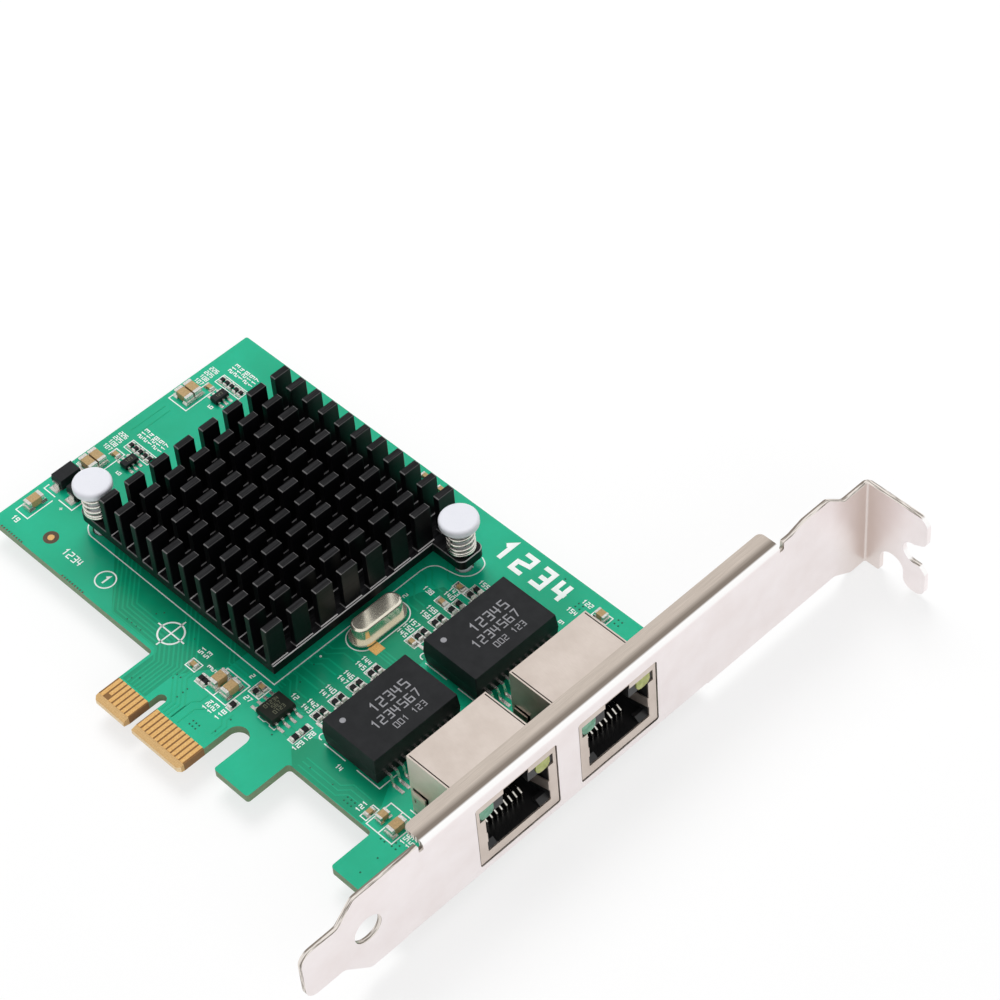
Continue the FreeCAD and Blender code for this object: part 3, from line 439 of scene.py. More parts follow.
def soften(node, width, segments):
    """Small rounded edges on a CAD node, added by modifiers so that its own mesh stays."""
    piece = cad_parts[node]
    for polygon in piece.data.polygons:
        polygon.use_smooth = False
    weld = piece.modifiers.new("weld", "WELD")
    weld.merge_threshold = 1e-6
    bevel = piece.modifiers.new("bevel", "BEVEL")
    bevel.width = width * MM
    bevel.segments = segments
    bevel.limit_method = "ANGLE"
    bevel.angle_limit = math.radians(35)
    bevel.use_clamp_overlap = True


for node, width, segments in (("heatsink", 0.13, 1), ("magnetics_lower_body", 0.16, 2),
                              ("magnetics_upper_body", 0.16, 2), ("memory_chip_body", 0.08, 2),
                              ("large_capacitor_bodies", 0.05, 2), ("large_capacitor_ends", 0.1, 2)):
    soften(node, width, segments)


# ---------------------------------------------------------------- flat work on the board

def bevelled_sides(points, half, closed=False):
    """Points half a width to the left and right of a line through points, mitred at its corners."""
    left, right = [], []
    count = len(points)
    for index, point in enumerate(points):
        here = Vector(point)
        before = Vector(points[index - 1]) if index or closed else None
        after = Vector(points[(index + 1) % count]) if index < count - 1 or closed else None
        inward = (here - before).normalized() if before is not None else None
        outward = (after - here).normalized() if after is not None else None
        inward, outward = inward or outward, outward or inward
        normal = Vector((-inward.y - outward.y, inward.x + outward.x)).normalized()
        reach = half / max(0.35, normal.dot(Vector((-outward.y, outward.x))))
        left.append(here + normal * reach)
        right.append(here - normal * reach)
    return left, right


def curved(points):
    """A smooth line through points."""
    steps = 6
    result = []
    for index in range(len(points) - 1):
        p0 = Vector(points[max(index - 1, 0)])
        p1, p2 = Vector(points[index]), Vector(points[index + 1])
        p3 = Vector(points[min(index + 2, len(points) - 1)])
        for step in range(steps):
            t = step / steps
            result.append(tuple(0.5 * (2 * p1 + (p2 - p0) * t + (2 * p0 - 5 * p1 + 4 * p2 - p3) * t * t
                                       + (3 * p1 - p0 - 3 * p2 + p3) * t ** 3)))
    return result + [tuple(points[-1])]


def circle(x, y, radius, count, start=0.0, sweep=360.0):
    """Points on a circle or an arc, with angles in degrees."""
    last = count if sweep < 360 else count - 1
    return [(x + radius * math.cos(math.radians(start + sweep * k / count)),
             y + radius * math.sin(math.radians(start + sweep * k / count))) for k in range(last + 1)]


class Film:
    """Thin raised shapes on one face of the board, drawn in millimetres above the board's feet."""

    def __init__(self, side=1, height=PRINT_HEIGHT, base=None):
        self.mesh = bmesh.new()
        self.side = side
        self.base = base if base is not None else (TOP if side > 0 else BACK)
        self.face = self.base + side * height

    def corner(self, point, z):
        return self.mesh.verts.new((point[0] * MM, point[1] * MM + FOOT, z))

    def line(self, points, width=PRINT_WIDTH, closed=False, layer=0):
        left, right = bevelled_sides(points, width / 2, closed)
        face = self.face + self.side * layer * LAYER
        rows = [[self.corner(p, z) for p, z in ((a, self.base), (a, face), (b, face), (b, self.base))]
                for a, b in zip(left, right)]
        for one, two in zip(rows, rows[1:] + rows[:1] if closed else rows[1:]):
            for k in range(4):
                self.mesh.faces.new((one[k], one[(k + 1) % 4], two[(k + 1) % 4], two[k]))
        if not closed:
            self.mesh.faces.new(rows[0])
            self.mesh.faces.new(rows[-1])

    def area(self, points, grow=0.0, rise=0.0):
        """A filled outline, whose top may be smaller or larger than its foot."""
        centre = sum((Vector(p) for p in points), Vector((0, 0))) / len(points)
        low = [self.corner(p, self.base) for p in points]
        face = self.face + self.side * rise
        high = [self.corner(Vector(p) + (Vector(p) - centre).normalized() * grow, face) for p in points]
        self.mesh.faces.new(low)
        self.mesh.faces.new(high)
        for k in range(len(points)):
            self.mesh.faces.new((low[k], low[(k + 1) % len(points)], high[(k + 1) % len(points)], high[k]))

    def box(self, x0, y0, x1, y1, width=PRINT_WIDTH):
        self.line([(x0, y0), (x1, y0), (x1, y1), (x0, y1)], width, closed=True)

    def digits(self, text, x, y, height, turn=0, stroke=None):
        """Plain numbers, centred on x, y and turned by whole quarters."""
        stroke = stroke or height * 0.17
        pitch = height * 0.78
        for place, digit in enumerate(text):
            if digit == " ":
                continue
            along = (place - (len(text) - 1) / 2) * pitch
            for layer, path in enumerate(STROKES[digit]):
                closed = path[0] == path[-1]
                points = []
                for u, v in path[:-1] if closed else path:
                    u = {LEFT: stroke / height, RIGHT: 1 - stroke / height}.get(u, u)
                    u, v = along + (u - 0.5) * height * 0.5, (v - 0.5) * (height - stroke)
                    for _ in range(turn % 4):
                        u, v = -v, u
                    points.append((x + self.side * u, y + v))
                self.line(points, stroke, closed, layer)

    def piece(self, name, look, slot=None):
        """Ends the film, and makes it one piece on the card."""
        bmesh.ops.recalc_face_normals(self.mesh, faces=self.mesh.faces)
        data = bpy.data.meshes.new(name)
        self.mesh.to_mesh(data)
        self.mesh.free()
        add_piece(name, data, look)


# Places across a digit that touch its left or right upright
LEFT, RIGHT = 0.1, 0.9
STROKES = {
    "0": [[(0, 0), (1, 0), (1, 1), (0, 1), (0, 0)]],
    "1": [[(0.2, 0.75), (0.6, 1), (0.6, 0)]],
    "2": [[(0, 1), (1, 1), (1, 0.55), (0, 0.45), (0, 0), (1, 0)]],
    "3": [[(0, 1), (1, 1), (1, 0), (0, 0)], [(0.25, 0.5), (RIGHT, 0.5)]],
    "4": [[(0, 1), (0, 0.4), (1, 0.4)], [(0.75, 1), (0.75, 0)]],
    "5": [[(1, 1), (0, 1), (0, 0.55), (1, 0.5), (1, 0), (0, 0)]],
    "6": [[(1, 1), (0, 1), (0, 0), (1, 0), (1, 0.5), (LEFT, 0.5)]],
    "7": [[(0, 1), (1, 1), (0.4, 0)]],
    "8": [[(0, 0), (1, 0), (1, 1), (0, 1), (0, 0)], [(LEFT, 0.5), (RIGHT, 0.5)]],
    "9": [[(0, 0), (1, 0), (1, 1), (0, 1), (0, 0.5), (RIGHT, 0.5)]],
}


def add_piece(name, data, look):
    """A new piece that rides on the card."""
    piece = bpy.data.objects.new(name, data)
    bpy.context.scene.collection.objects.link(piece)
    data.materials.append(look.material)
    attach(piece, "card")
    return piece


def footprint(points):
    """Smallest rectangle around points, in millimetres above the board's feet, or None."""
    if not points:
        return None
    return (min(p.x for p in points) / MM, (min(p.y for p in points) - FOOT) / MM,
            max(p.x for p in points) / MM, (max(p.y for p in points) - FOOT) / MM)


def islands(node):
    """For each separate solid of a CAD node, its footprints on the board and below the board."""
    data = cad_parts[node].data
    keys = [tuple(round(c * 1e6) for c in v.co) for v in data.vertices]
    parent = {key: key for key in keys}

    def root(key):
        while parent[key] != key:
            parent[key] = parent[parent[key]]
            key = parent[key]
        return key

    for polygon in data.polygons:
        first = keys[polygon.vertices[0]]
        for vertex in polygon.vertices[1:]:
            parent[root(keys[vertex])] = root(first)
    groups = {}
    for key, vertex in zip(keys, data.vertices):
        groups.setdefault(root(key), []).append(vertex.co)
    return [(footprint([p for p in points if abs(p.z - TOP) < 0.2 * MM]),
             footprint([p for p in points if p.z < BACK - 0.2 * MM])) for points in groups.values()]


def rectangle(x0, y0, x1, y1):
    return [(x0, y0), (x1, y0), (x1, y1), (x0, y1)]


def middle_of(node):
    """Middle of a CAD node's box, in millimetres along X and above the board's feet."""
    low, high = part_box(node)
    return (low.x + high.x) / 2 / MM, ((low.y + high.y) / 2 - FOOT) / MM


# Printed outlines and numbers: the heatsink's outline first
ink = Film()
ink.line(curved([(-36.4, 19.8), (-35.8, 18.5), (-34.4, 17.6), (-33.0, 17.5)])[:-1]
         + [(-33.0, 17.5), (10.85, 17.5), (10.85, 48.4)]
         + curved([(10.85, 48.8), (11.2, 50.3), (12.3, 51.4), (14.2, 51.8), (16.2, 52.3), (17.5, 53.5),
                   (17.9, 55.2), (17.4, 56.7), (16.1, 57.4)]))

# The two regulators' groups at the outer end, which are alike
for lift in (0.0, 20.1):
    for k, text in enumerate(("213", "214", "128", "219", "117")):
        ink.digits(text, -44.8 + 1.24 * k, 37.95 + lift, 1.0, 1)
    for k, text in enumerate(("226", "225", "108", "107")):
        ink.digits(text, -47.0, 35.4 - 1.16 * k + lift, 0.86)
    ink.digits("6", -41.1, 29.4 + lift, 1.0, 1)
    ink.box(-44.95, 33.75 + lift, -38.95, 35.85 + lift, FINE_WIDTH)
    for x in (-42.5, -40.2):
        ink.line([(x, 33.8 + lift), (x, 35.8 + lift)], FINE_WIDTH)
    ink.line([(x, y + lift) for x, y in ((-47.9, 27.6), (-47.9, 26.0), (-43.5, 26.0), (-43.5, 32.7),
                                         (-45.6, 32.7), (-45.6, 31.0))])
    ink.line(circle(-42.9, 33.2 + lift, 0.12, 10), 0.12, True)

# Round the diodes, and the marks along the lower edge up to the tongue
ink.line([(-47.7, 20.0), (-47.7, 18.9), (-44.8, 18.9)])
ink.line([(-43.9, 18.9), (-40.5, 18.9), (-40.5, 24.6)])
ink.line([(-42.4, 17.9), (-41.8, 17.9)], FINE_WIDTH)
ink.line([(-42.1, 17.6), (-42.1, 18.2)], FINE_WIDTH)
ink.line([(-47.5, 14.6), (-47.5, 12.8), (-44.5, 12.8), (-44.5, 18.1)])
ink.digits("19", -46.0, 11.5, 1.05)
ink.digits("1234", -32.6, 12.6, 1.5, 0, 0.2)
ink.line(circle(-25.0, 13.2, 1.75, 36), 0.24, True)
ink.digits("1", -25.0, 13.2, 2.0, 0, 0.32)
ink.line(circle(-8.8, 13.2, 2.2, 40), 0.3, True)
ink.line([(-11.9, 13.2), (-5.7, 13.2)], 0.26)
ink.line([(-8.8, 10.1), (-8.8, 13.07)], 0.26)
ink.line([(-8.8, 13.33), (-8.8, 16.3)], 0.26)

# The large generic numbers, then the small ones beside the parts: text, x, y, quarter turns
for place, text in enumerate("1234"):
    ink.digits(text, 17.8 + 4.2 * place, 60.9, 4.5, 0, 0.85)
for text, x, y, turn in (
        ("51", -2.5, 14.3, 1), ("53", -1.2, 14.3, 1), ("3", 0.9, 12.9, 1), ("5", 1.9, 12.9, 1),
        ("124", 6.2, 7.9, 1), ("123", 7.4, 7.9, 1), ("118", 9.1, 7.9, 1), ("2", 7.1, 16.3, 0),
        ("27", 9.9, 12.9, 0), ("12", 14.9, 18.1, 0), ("128", 22.3, 14.5, 1), ("129", 22.3, 12.1, 1),
        ("14", 30.0, 13.6, 0), ("121", 37.8, 11.0, 1), ("156", 47.0, 11.5, 1), ("157", 48.2, 11.5, 1),
        ("122", 35.2, 61.9, 0), ("154", 34.4, 59.2, 0), ("9", 34.7, 56.5, 1), ("138", 14.7, 46.8, 0),
        ("2", 12.8, 43.6, 0),
        ("155", 20.4, 53.6, 0), ("143", 17.9, 49.4, 0), ("140", 17.9, 48.3, 0), ("159", 17.9, 44.5, 0),
        ("156", 17.9, 43.1, 0), ("157", 17.9, 40.7, 0), ("150", 17.9, 39.4, 0), ("145", 17.9, 38.1, 0),
        ("144", 17.9, 30.5, 0), ("145", 17.9, 29.2, 0), ("146", 17.9, 26.7, 0), ("147", 17.9, 25.4, 0),
        ("140", 17.9, 22.9, 0), ("141", 17.9, 21.6, 0), ("142", 17.9, 19.1, 0), ("143", 17.9, 17.8, 0)):
    ink.digits(text, x, y, 0.95, turn)

# Outlines of the resistor pairs beside the magnetics, and of the other small parts
for high, low in ((52.0, 50.6), (48.1, 46.5), (44.2, 42.9), (40.5, 39.2),
                  (30.5, 29.2), (26.7, 25.4), (22.9, 21.6), (19.1, 17.8)):
    ink.box(19.35, low - 0.62, 21.65, high + 0.62, FINE_WIDTH)
    ink.line([(19.5, (low + high) / 2), (21.5, (low + high) / 2)], FINE_WIDTH)
for x0, y0, x1, y1 in (
        (16.9, 50.0, 19.2, 51.3), (16.9, 46.0, 19.2, 47.2), (19.35, 37.2, 21.65, 38.4),
        (-2.4, 10.6, -0.2, 12.4), (8.8, 13.9, 11.2, 16.5), (1.15, 9.5, 3.2, 11.5), (8.65, 9.4, 9.75, 11.4),
        (20.3, 11.8, 21.5, 15.9), (38.9, 9.7, 40.2, 12.4), (37.1, 60.8, 40.2, 62.5)):
    ink.box(x0, y0, x1, y1, 0.18)
ink.box(3.1, 9.6, 8.3, 14.7)
ink.line([(5.45, 9.7), (5.45, 14.6)])
ink.line([(8.95, 15.2), (11.05, 15.2)], FINE_WIDTH)
ink.line([(2.2, 9.6), (2.2, 11.4)], FINE_WIDTH)
ink.box(40.6, 9.4, 46.1, 14.5)
ink.line([(43.15, 9.5), (43.15, 14.4)])
ink.line([(36.2, 59.0), (36.2, 60.2), (41.0, 60.2)], 0.18)
ink.line([(13.7, 12.0), (13.7, 11.6), (15.0, 11.6), (15.3, 11.9), (16.0, 11.9), (16.3, 11.6), (17.4, 11.6),
          (17.4, 12.0)], FINE_WIDTH)

# Corners of the magnetics, their first-lead arcs, and the crystal can's outline
ink.line([(25.0, 15.1), (29.8, 15.1)])
ink.line([(32.3, 15.1), (37.4, 15.1), (37.4, 18.6)])
ink.line([(25.0, 36.4), (29.8, 36.4)])
ink.line([(32.3, 36.4), (36.8, 36.4)])
for y in (15.9, 37.2):
    ink.line(circle(23.9, y, 0.62, 16, 60, 240), 0.2)
ink.line([(43.6, 15.6), (45.9, 15.6)])
ink.line(circle(12.0, 26.2, 0.14, 10), 0.14, True)
low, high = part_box("crystal_can")
x, y = middle_of("crystal_can")
half_x, half_y = (high.x - low.x) / 2 / MM + 0.45, (high.y - low.y) / 2 / MM + 0.45
reach = half_y - half_x
ink.line(circle(x, y - reach, half_x, 20, 180, 180) + circle(x, y + reach, half_x, 20, 0, 180),
         PRINT_WIDTH, True)
ink.piece("print_front", print_white)


def bundle(film, points, count, pitch, width):
    """Parallel lines, count of them, on both sides of a line through points."""
    for k in range(count):
        shift = (k - (count - 1) / 2) * pitch
        left, _ = bevelled_sides(points, shift)
        film.line([tuple(p) for p in left], width)


# Where the copper under the mask is left out, and a dark film of painted shade between the sockets
clear = Film(height=SKIN_HEIGHT)
clear.area([(-29.5, 19.0), (-19.5, 9.9), (-8.4, 9.9), (-7.6, 9.1), (-7.6, 2.2), (-2.2, 2.2), (-2.2, 8.0),
            (3.0, 15.2), (3.0, 19.0)])
clear.area([(11.2, 17.8), (11.2, 36.5), (14.0, 45.5), (16.0, 49.0), (19.0, 49.0), (24.5, 44.0), (24.5, 17.0),
            (14.0, 17.0)])
clear.area([(24.5, 8.9), (22.0, 11.0), (22.0, 14.0), (26.0, 16.5), (38.0, 16.5), (40.0, 13.0), (40.0, 9.0)])
clear.piece("board_clearance", dark_green, slot="board_green")
gap_low = (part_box("jack_lower_housing")[1].y - FOOT) / MM
gap_high = (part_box("jack_upper_housing")[0].y - FOOT) / MM
between = Film(height=SKIN_HEIGHT)
between.area(rectangle(44.0, gap_low + 0.2, 56.0, gap_high - 0.2))
between.area(rectangle(37.2, 30.4, 43.9, 38.7))
between.piece("board_between_sockets", painted_shade_green, slot="board_green")

# Traces under the mask
traces = Film(height=COPPER_HEIGHT)
bundle(traces, [(-27.5, 20.8), (-18.3, 11.6), (-7.8, 11.6), (-4.8, 8.6), (-4.8, 2.3)], 6, 0.75, 0.3)
bundle(traces, [(-11.5, 20.5), (-1.2, 10.2), (-1.2, 8.6), (2.6, 4.8), (2.6, 2.3)], 4, 0.75, 0.3)
bundle(traces, [(-2.0, 20.5), (2.6, 15.9), (8.2, 15.9)], 2, 0.7, 0.26)
bundle(traces, [(6.0, 20.5), (8.2, 18.3), (12.3, 18.3)], 2, 0.6, 0.26)
for y, drop in ((52.0, 3), (48.1, 2), (44.2, 2), (40.5, 0), (30.5, -2), (26.7, -1), (22.9, 0), (19.1, 2)):
    for low in (y - 1.4, y):
        traces.line([(10.0, low + drop), (12.2, low + drop), (12.2 + abs(drop), low), (16.6, low)] if drop
                    else [(10.0, low), (16.6, low)], 0.3)
        traces.line([(21.2, low), (22.4, low), (23.4, low + 0.5), (25.0, low + 0.5)], 0.3)
bundle(traces, [(11.5, 34.6), (15.0, 34.6), (16.5, 33.1), (24.0, 33.1)], 3, 0.6, 0.28)
bundle(traces, [(-46.3, 44.5), (-46.3, 37.0)], 2, 1.4, 0.2)
bundle(traces, [(4.6, 2.4), (4.6, 6.2), (5.6, 7.2), (5.6, 9.2)], 2, 1.5, 0.2)
bundle(traces, [(10.2, 9.2), (10.2, 7.8), (11.2, 6.8), (11.2, 4.6)], 2, 0.8, 0.2)
bundle(traces, [(17.8, 16.6), (20.4, 19.2), (22.0, 19.2)], 2, 0.6, 0.24)
bundle(traces, [(18.6, 13.0), (20.0, 13.0)], 2, 1.6, 0.24)
bundle(traces, [(25.0, 10.6), (33.0, 10.6), (34.4, 12.0), (38.0, 12.0)], 3, 0.9, 0.24)
bundle(traces, [(36.5, 19.5), (38.5, 19.5), (40.0, 21.0)], 3, 0.8, 0.26)
bundle(traces, [(36.5, 38.6), (38.5, 38.6), (40.5, 40.6)], 3, 0.8, 0.26)
traces.piece("board_traces_front", trace_green, slot="board_green")

# Vias, as small raised discs under the mask
VIA_PLACES = [
    (-1.8, 8.5), (-1.0, 8.5), (-1.8, 7.6), (1.5, 7.7), (1.5, 6.8), (1.5, 5.6), (6.9, 4.3), (7.6, 4.3),
    (8.3, 4.3), (6.9, 3.5), (7.6, 3.5), (8.3, 3.5), (10.9, 5.3), (11.0, 8.4), (35.0, 10.8), (35.8, 10.8),
    (36.6, 10.8), (35.0, 10.0), (35.8, 10.0), (36.6, 10.0), (46.4, 10.0), (47.2, 10.0), (46.4, 9.2),
    (47.2, 9.2), (44.2, 9.0), (45.0, 9.0), (46.4, 6.3), (46.4, 2.8), (34.1, 61.1), (35.0, 61.1),
    (34.1, 60.3), (35.0, 60.3), (41.0, 62.9), (41.8, 62.9), (41.0, 62.0), (41.8, 62.0), (17.8, 10.8),
    (26.8, 10.6), (31.6, 10.8), (13.4, 20.6), (12.4, 24.4), (15.4, 36.9), (14.9, 14.0),
    *((-6.6 + 0.95 * k, 3.2 + 0.9 * (k % 2)) for k in range(2)),
    *((-16.2 + 1.1 * k, 10.4) for k in range(4)),
    (-12.8, 15.2), (-13.6, 14.2), (-5.2, 15.0), (22.8, 32.2), (22.8, 28.0), (23.0, 47.0), (13.2, 55.0),
    (29.0, 63.2),
]


def add_vias(film):
    for x, y in VIA_PLACES:
        film.area(circle(x, y, 0.17, 12), -0.04)


vias = Film(height=VIA_HEIGHT)
add_vias(vias)
vias.piece("board_vias_front", via_green, slot="board_green")

# A laminate ring round the locating dot, and bare plated spots: the dot and a probe pad
brown = moulded("laminate_ring", srgb(74, 56, 40), 0.5, 6.0)
ring = Film(height=0.01 * MM)
ring.area(circle(-38.5, 12.9, 1.35, 36))
ring.piece("locating_dot_ring", brown, slot="board_green")
spots = Film(height=PAD_HEIGHT)
spots.area(circle(-38.5, 12.9, 0.62, 28), -0.05)
spots.area(rectangle(16.3, 32.2, 18.3, 34.2), -0.05)
spots.piece("bare_pads", gold, slot="gold")


def pads_for(film, node, spread, climb, outward):
    """A solder pad under each solid of a node, which climbs its foot and may reach outward."""
    middle_x, middle_y = middle_of(node)
    for seat, _ in islands(node):
        x0, y0, x1, y1 = seat
        reach_x = math.copysign(outward[0], (x0 + x1) / 2 - middle_x)
        reach_y = math.copysign(outward[1], (y0 + y1) / 2 - middle_y)
        x0, x1 = x0 + min(reach_x, 0) - spread, x1 + max(reach_x, 0) + spread
        y0, y1 = y0 + min(reach_y, 0) - spread, y1 + max(reach_y, 0) + spread
        film.area(rectangle(x0, y0, x1, y1), -spread, climb * MM)


solder = Film(height=PAD_HEIGHT)
for node, spread, climb, outward in (
        ("large_capacitor_ends", 0.3, 0.4, (0, 0)), ("small_capacitor_ends", 0.2, 0.22, (0, 0)),
        ("resistor_ends", 0.15, 0.12, (0, 0)), ("memory_chip_leads", 0.07, 0.03, (0.7, 0)),
        ("regulator_lower_leads", 0.08, 0.03, (0.45, 0)), ("regulator_upper_leads", 0.08, 0.03, (0.45, 0)),
        ("diode_outer_leads", 0.2, 0.1, (0, 0.35)), ("diode_inner_leads", 0.2, 0.1, (0, 0.35)),
        ("magnetics_lower_leads", 0.08, 0.04, (0.6, 0)), ("magnetics_upper_leads", 0.08, 0.04, (0.6, 0))):
    pads_for(solder, node, spread, climb, outward)
solder.piece("solder_front", tin, slot="solder")

# The back: cones of solder round the tails, vias, copper and print
cones = Film(side=-1, height=PAD_HEIGHT)
for node in ("jack_lower_contacts", "jack_upper_contacts", "crystal_leads"):
    for _, tail in islands(node):
        x, y = (tail[0] + tail[2]) / 2, (tail[1] + tail[3]) / 2
        cones.area(circle(x, y, 0.72, 18), -0.42, 0.75 * MM)
for node in ("jack_lower_shield", "jack_upper_shield"):
    (_, tail), = [pair for pair in islands(node) if pair[1]]
    for y in (tail[1], tail[3]):
        cones.area(circle((tail[0] + tail[2]) / 2, y, 1.5, 24), -0.55, 0.7 * MM)
cones.piece("solder_back", tin, slot="solder")

# Beside the controller's balls, apart from those in the middle, each has a via
back_vias = Film(side=-1, height=VIA_HEIGHT)
add_vias(back_vias)
chip_x, chip_y = middle_of("controller_chip")
grid = [BALL_PITCH * (k - 7.5) for k in range(16)]
for u in grid:
    for v in grid:
        if max(abs(u), abs(v)) > 2 * BALL_PITCH + 0.06:
            back_vias.area(circle(chip_x + u + 0.3, chip_y + v + 0.3, 0.2, 10), -0.05)
back_vias.piece("board_vias_back", via_green, slot="board_green")

# From the fingers on both sides of the key, then between the chip and the sockets, then to the outer end
back_copper = Film(side=-1, height=COPPER_HEIGHT)
for k in range(7):
    x = -7.5 + k
    back_copper.line([(x, 2.3), (x, 9.0 + 0.55 * k), (x - 6.0, 15.0 + 0.55 * k), (x - 6.0, 19.5)], 0.28)
for k in range(11):
    x = 1.5 + k
    back_copper.line([(x, 2.3), (x, 8.2 - 0.45 * k), (x - 3.2, 11.4 - 0.45 * k), (x - 3.2, 17.5 - 0.4 * k)],
                     0.28)
for k in range(8):
    y = 22.0 + 1.5 * k
    back_copper.line([(3.5, y), (20.0 - 0.6 * k, y), (23.0 - 0.6 * k, y + 3.0), (42.5, y + 3.0)], 0.26)
    back_copper.line([(3.5, y + 14.5), (18.0 + 0.5 * k, y + 14.5), (21.0 + 0.5 * k, y + 17.5),
                      (42.5, y + 17.5)], 0.26)
for k in range(6):
    x = -22.0 - 1.6 * k
    y = 30.0 + 1.3 * k
    back_copper.line([(x, 22.5), (x, 18.0 - 0.5 * k), (x - 4.0, 14.0 - 0.5 * k), (x - 4.0, 11.0)], 0.26)
    back_copper.line([(-23.0, y), (-34.0, y), (-37.0, 33.0 + 1.3 * k), (-45.0, 33.0 + 1.3 * k)], 0.26)
back_copper.piece("board_traces_back", trace_green, slot="board_green")

# Outlines of the chip and the sockets, rings round the pins, and plain numbers
back_ink = Film(side=-1)
low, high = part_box("controller_chip")
half_chip = (high.x - low.x) / 2 / MM + 0.6
left, top = chip_x - half_chip, chip_y + half_chip
back_ink.box(left, chip_y - half_chip, chip_x + half_chip, top)
back_ink.line([(left, top - 2.5), (left + 2.5, top)])
board_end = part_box("circuit_board")[1].x / MM
for name in ("lower", "upper"):
    low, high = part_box("jack_" + name + "_housing")
    back_ink.box(low.x / MM, (low.y - FOOT) / MM, board_end - 0.4, (high.y - FOOT) / MM)
for x, y in ((-33.8, 19.9), (15.0, 54.3)):
    back_ink.line(circle(x, y, 3.4, 40), PRINT_WIDTH, True)
for text, x, y, height in (
        ("1", 47.3, 12.0, 1.6), ("2", 47.3, 33.4, 1.6), ("01", -4.6, 9.2, 1.2), ("18", 8.6, 9.4, 1.2),
        ("1234", -36.0, 58.0, 3.0), ("0123456789", 8.0, 61.0, 1.6)):
    back_ink.digits(text, x, y, height)
back_ink.piece("print_back", print_white)

# Sawn nibs that are left where the board was broken from its panel
nibs = Film(height=0.02 * MM)
for start, count in ((-46.6, 9), (-31.0, 9)):
    for k in range(count):
        x = start + 0.64 * k
        nibs.area(rectangle(x, 8.87, x + 0.3, 9.2))
nibs.piece("board_nibs", brown, slot="board_green")


# ---------------------------------------------------------------- springs

def spring(side, first_angle):
    """A coil with closed ends between the heatsink's ear and the pin's head."""
    low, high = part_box("push_pin_spring_" + side)
    x, y = (low.x + high.x) / 2, (low.y + high.y) / 2
    wire = 0.25 * MM
    radius = (high.x - low.x) / 2 - wire
    turns, around, steps = 7.2, 10, 30
    rise = high.z - low.z - 2 * wire
    mesh = bmesh.new()
    rows = []
    total = int(turns * steps)
    for k in range(total + 1):
        share = k / total
        angle = 2 * math.pi * turns * share + first_angle
        height = low.z + wire + rise * (share - 0.75 * math.sin(2 * math.pi * share) / (2 * math.pi))
        out = Vector((math.cos(angle), math.sin(angle), 0))
        centre = Vector((x, y, height)) + out * radius
        rows.append([mesh.verts.new(centre + out * wire * math.cos(a) + Vector((0, 0, wire * math.sin(a))))
                     for a in (2 * math.pi * j / around for j in range(around))])
    for one, two in zip(rows, rows[1:]):
        for j in range(around):
            face = mesh.faces.new((one[j], one[(j + 1) % around], two[(j + 1) % around], two[j]))
            face.smooth = True
    mesh.faces.new(rows[0])
    mesh.faces.new(rows[-1])
    bmesh.ops.recalc_face_normals(mesh, faces=mesh.faces)
    data = bpy.data.meshes.new("spring_" + side)
    mesh.to_mesh(data)
    mesh.free()
    piece = add_piece("spring_" + side, data, spring_wire)
    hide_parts("push_pin_spring_" + side)
    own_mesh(piece)


spring("left", 0.6)
spring("right", 2.4)


# ---------------------------------------------------------------- marks on the chips

def chip_marks(name, node, rows, look, spot=None):
    """Rows of plain numbers on a chip, each (text, height, place along X, place along Y)."""
    low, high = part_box(node)
    x0, y0 = low.x / MM, ((low.y + high.y) / 2 - FOOT) / MM
    marks = Film(base=high.z, height=0.012 * MM)
    if spot:
        marks.area(circle(x0 + spot[0], y0 + spot[1], spot[2], 24))
    for text, height, along_x, along_y in rows:
        marks.digits(text, x0 + along_x, y0 + along_y, height, 1, height * 0.12)
    marks.piece(name, look)


for name, last in (("lower", "01"), ("upper", "02")):
    chip_marks("marks_" + name, "magnetics_%s_body" % name,
               [("12345", 2.0, 4.3, 1.4), ("1234567", 1.8, 6.9, 0.4), ("0" + last + " 123", 1.2, 9.2, 1.2)],
               print_grey, (2.6, -6.6, 0.5))
chip_marks("marks_memory", "memory_chip_body",
           [("01234", 0.75, 0.9, 0.0), ("567", 0.75, 1.85, 0.2), ("0123", 0.75, 2.8, 0.0)], print_faint)
chip_marks("marks_regulator_lower", "regulator_lower_body", [("123", 0.6, 0.8, 0.0)], print_faint)
chip_marks("marks_regulator_upper", "regulator_upper_body", [("123", 0.6, 0.8, 0.0)], print_faint)


# ---------------------------------------------------------------- stage, light and camera

def seen_directly(tree):
    """1 for rays that show the backdrop: from the camera, and through gloss or glass."""
    paths = tree.nodes.new("ShaderNodeLightPath")
    total = paths.outputs["Is Camera Ray"]
    for name in ("Is Glossy Ray", "Is Transmission Ray"):
        join = tree.nodes.new("ShaderNodeMath")
        join.operation = "MAXIMUM"
        tree.links.new(total, join.inputs[0])
        tree.links.new(paths.outputs[name], join.inputs[1])
        total = join.outputs["Value"]
    return total


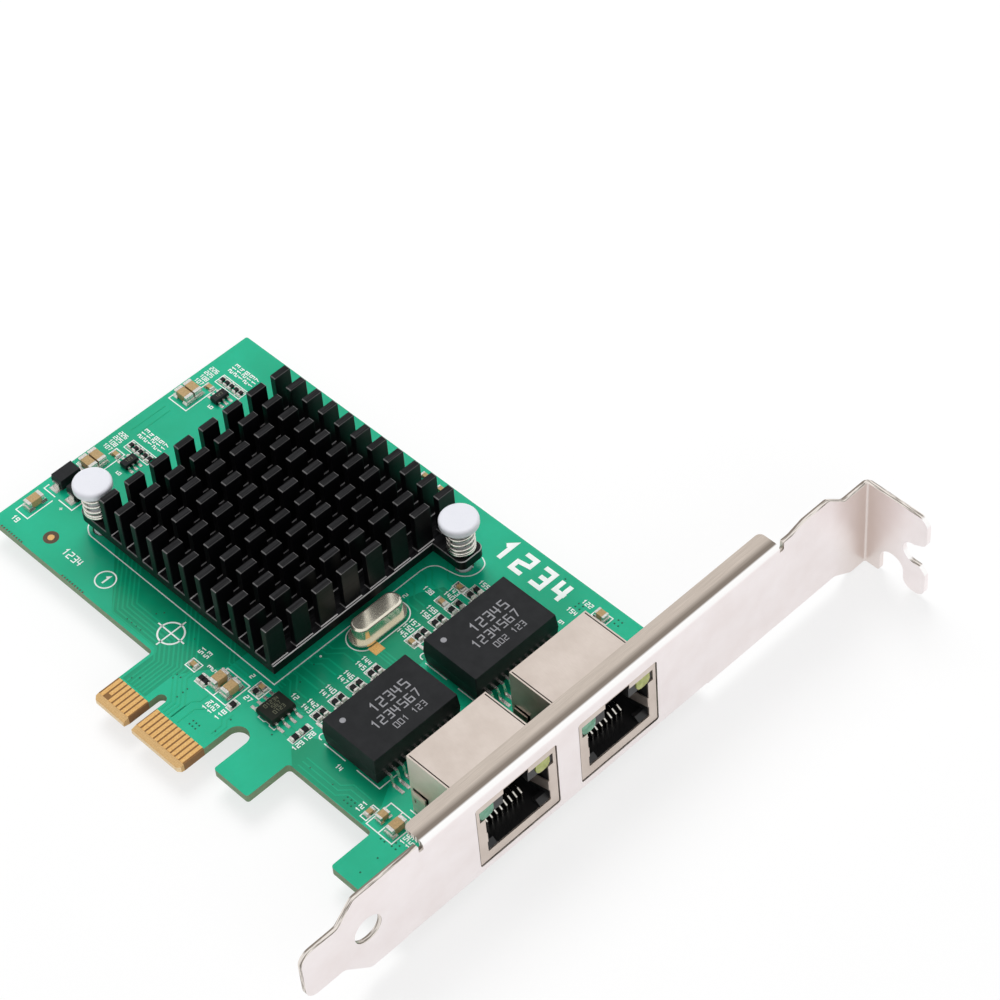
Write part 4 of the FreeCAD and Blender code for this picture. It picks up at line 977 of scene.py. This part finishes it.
floor_look = Look("floor", srgb(250, 250, 250), 0.9)
mottle = floor_look.noise(0.02, 2.0)
floor_look.set("Base Color", floor_look.mix(mottle, srgb(252, 252, 252), srgb(248, 248, 248)))
share = floor_look.span(seen_directly(floor_look.tree), 0, 1, 0, 0.72)
glow = floor_look.tree.nodes.new("ShaderNodeEmission")
blend = floor_look.tree.nodes.new("ShaderNodeMixShader")
floor_look.tree.links.new(share, blend.inputs[0])
floor_look.tree.links.new(floor_look.shader.outputs[0], blend.inputs[1])
floor_look.tree.links.new(glow.outputs[0], blend.inputs[2])
floor_look.tree.links.new(blend.outputs[0], floor_look.tree.nodes["Material Output"].inputs["Surface"])
bpy.ops.mesh.primitive_plane_add(size=6, location=(0, 0, LOWEST - 0.02 * MM))
floor = bpy.context.object
floor.name = "floor"
floor.data.materials.append(floor_look.material)

scene = bpy.context.scene
scene.view_settings.view_transform = "Standard"
world = bpy.data.worlds.new("studio")
scene.world = world
world.use_nodes = True
tree = world.node_tree
background = tree.nodes["Background"]
level = tree.nodes.new("ShaderNodeMapRange")
level.inputs["To Min"].default_value = 0.45
level.inputs["To Max"].default_value = 1.0
tree.links.new(seen_directly(tree), level.inputs["Value"])
tree.links.new(level.outputs["Result"], background.inputs["Strength"])
background.inputs["Color"].default_value = (1, 1, 1, 1)


def softbox(name, place, aim, size, watts):
    light = bpy.data.lights.new(name, "AREA")
    light.shape = "RECTANGLE"
    light.size, light.size_y = size
    light.energy = watts
    lamp = bpy.data.objects.new(name, light)
    scene.collection.objects.link(lamp)
    lamp.location = place
    lamp.rotation_euler = (Vector(aim) - Vector(place)).to_track_quat("-Z", "Y").to_euler()
    lamp.visible_glossy = False


middle = (0.01, 0.045, 0.0)
softbox("key", (-0.40, 0.30, 0.75), middle, (0.5, 0.5), 5.6)
softbox("fill", (0.7, -0.25, 0.35), middle, (0.6, 0.6), 1.8)

# The photo's viewing angle, solved from the edge connector's and the bracket's standard lengths
camera_data = bpy.data.cameras.new("camera")
camera_data.sensor_width = 36.0
camera_data.lens = 115.25
camera_data.clip_start = 0.01
camera = bpy.data.objects.new("camera", camera_data)
scene.collection.objects.link(camera)
back = Vector((0.5036, -0.4297, 0.7495)).normalized()     # from the object towards the camera
target = Vector((9.484, 71.130, 0.785)) * MM
distance = 517.73
camera.location = target + back * distance * MM
side = (-back).cross(Vector((0, 0, 1))).normalized()
up = side.cross(-back)
roll = math.radians(-5.2633)
right = side * math.cos(roll) + up * math.sin(roll)
top = up * math.cos(roll) - side * math.sin(roll)
turn = Matrix((right, top, back)).transposed()
camera.rotation_euler = turn.to_euler()
scene.camera = camera
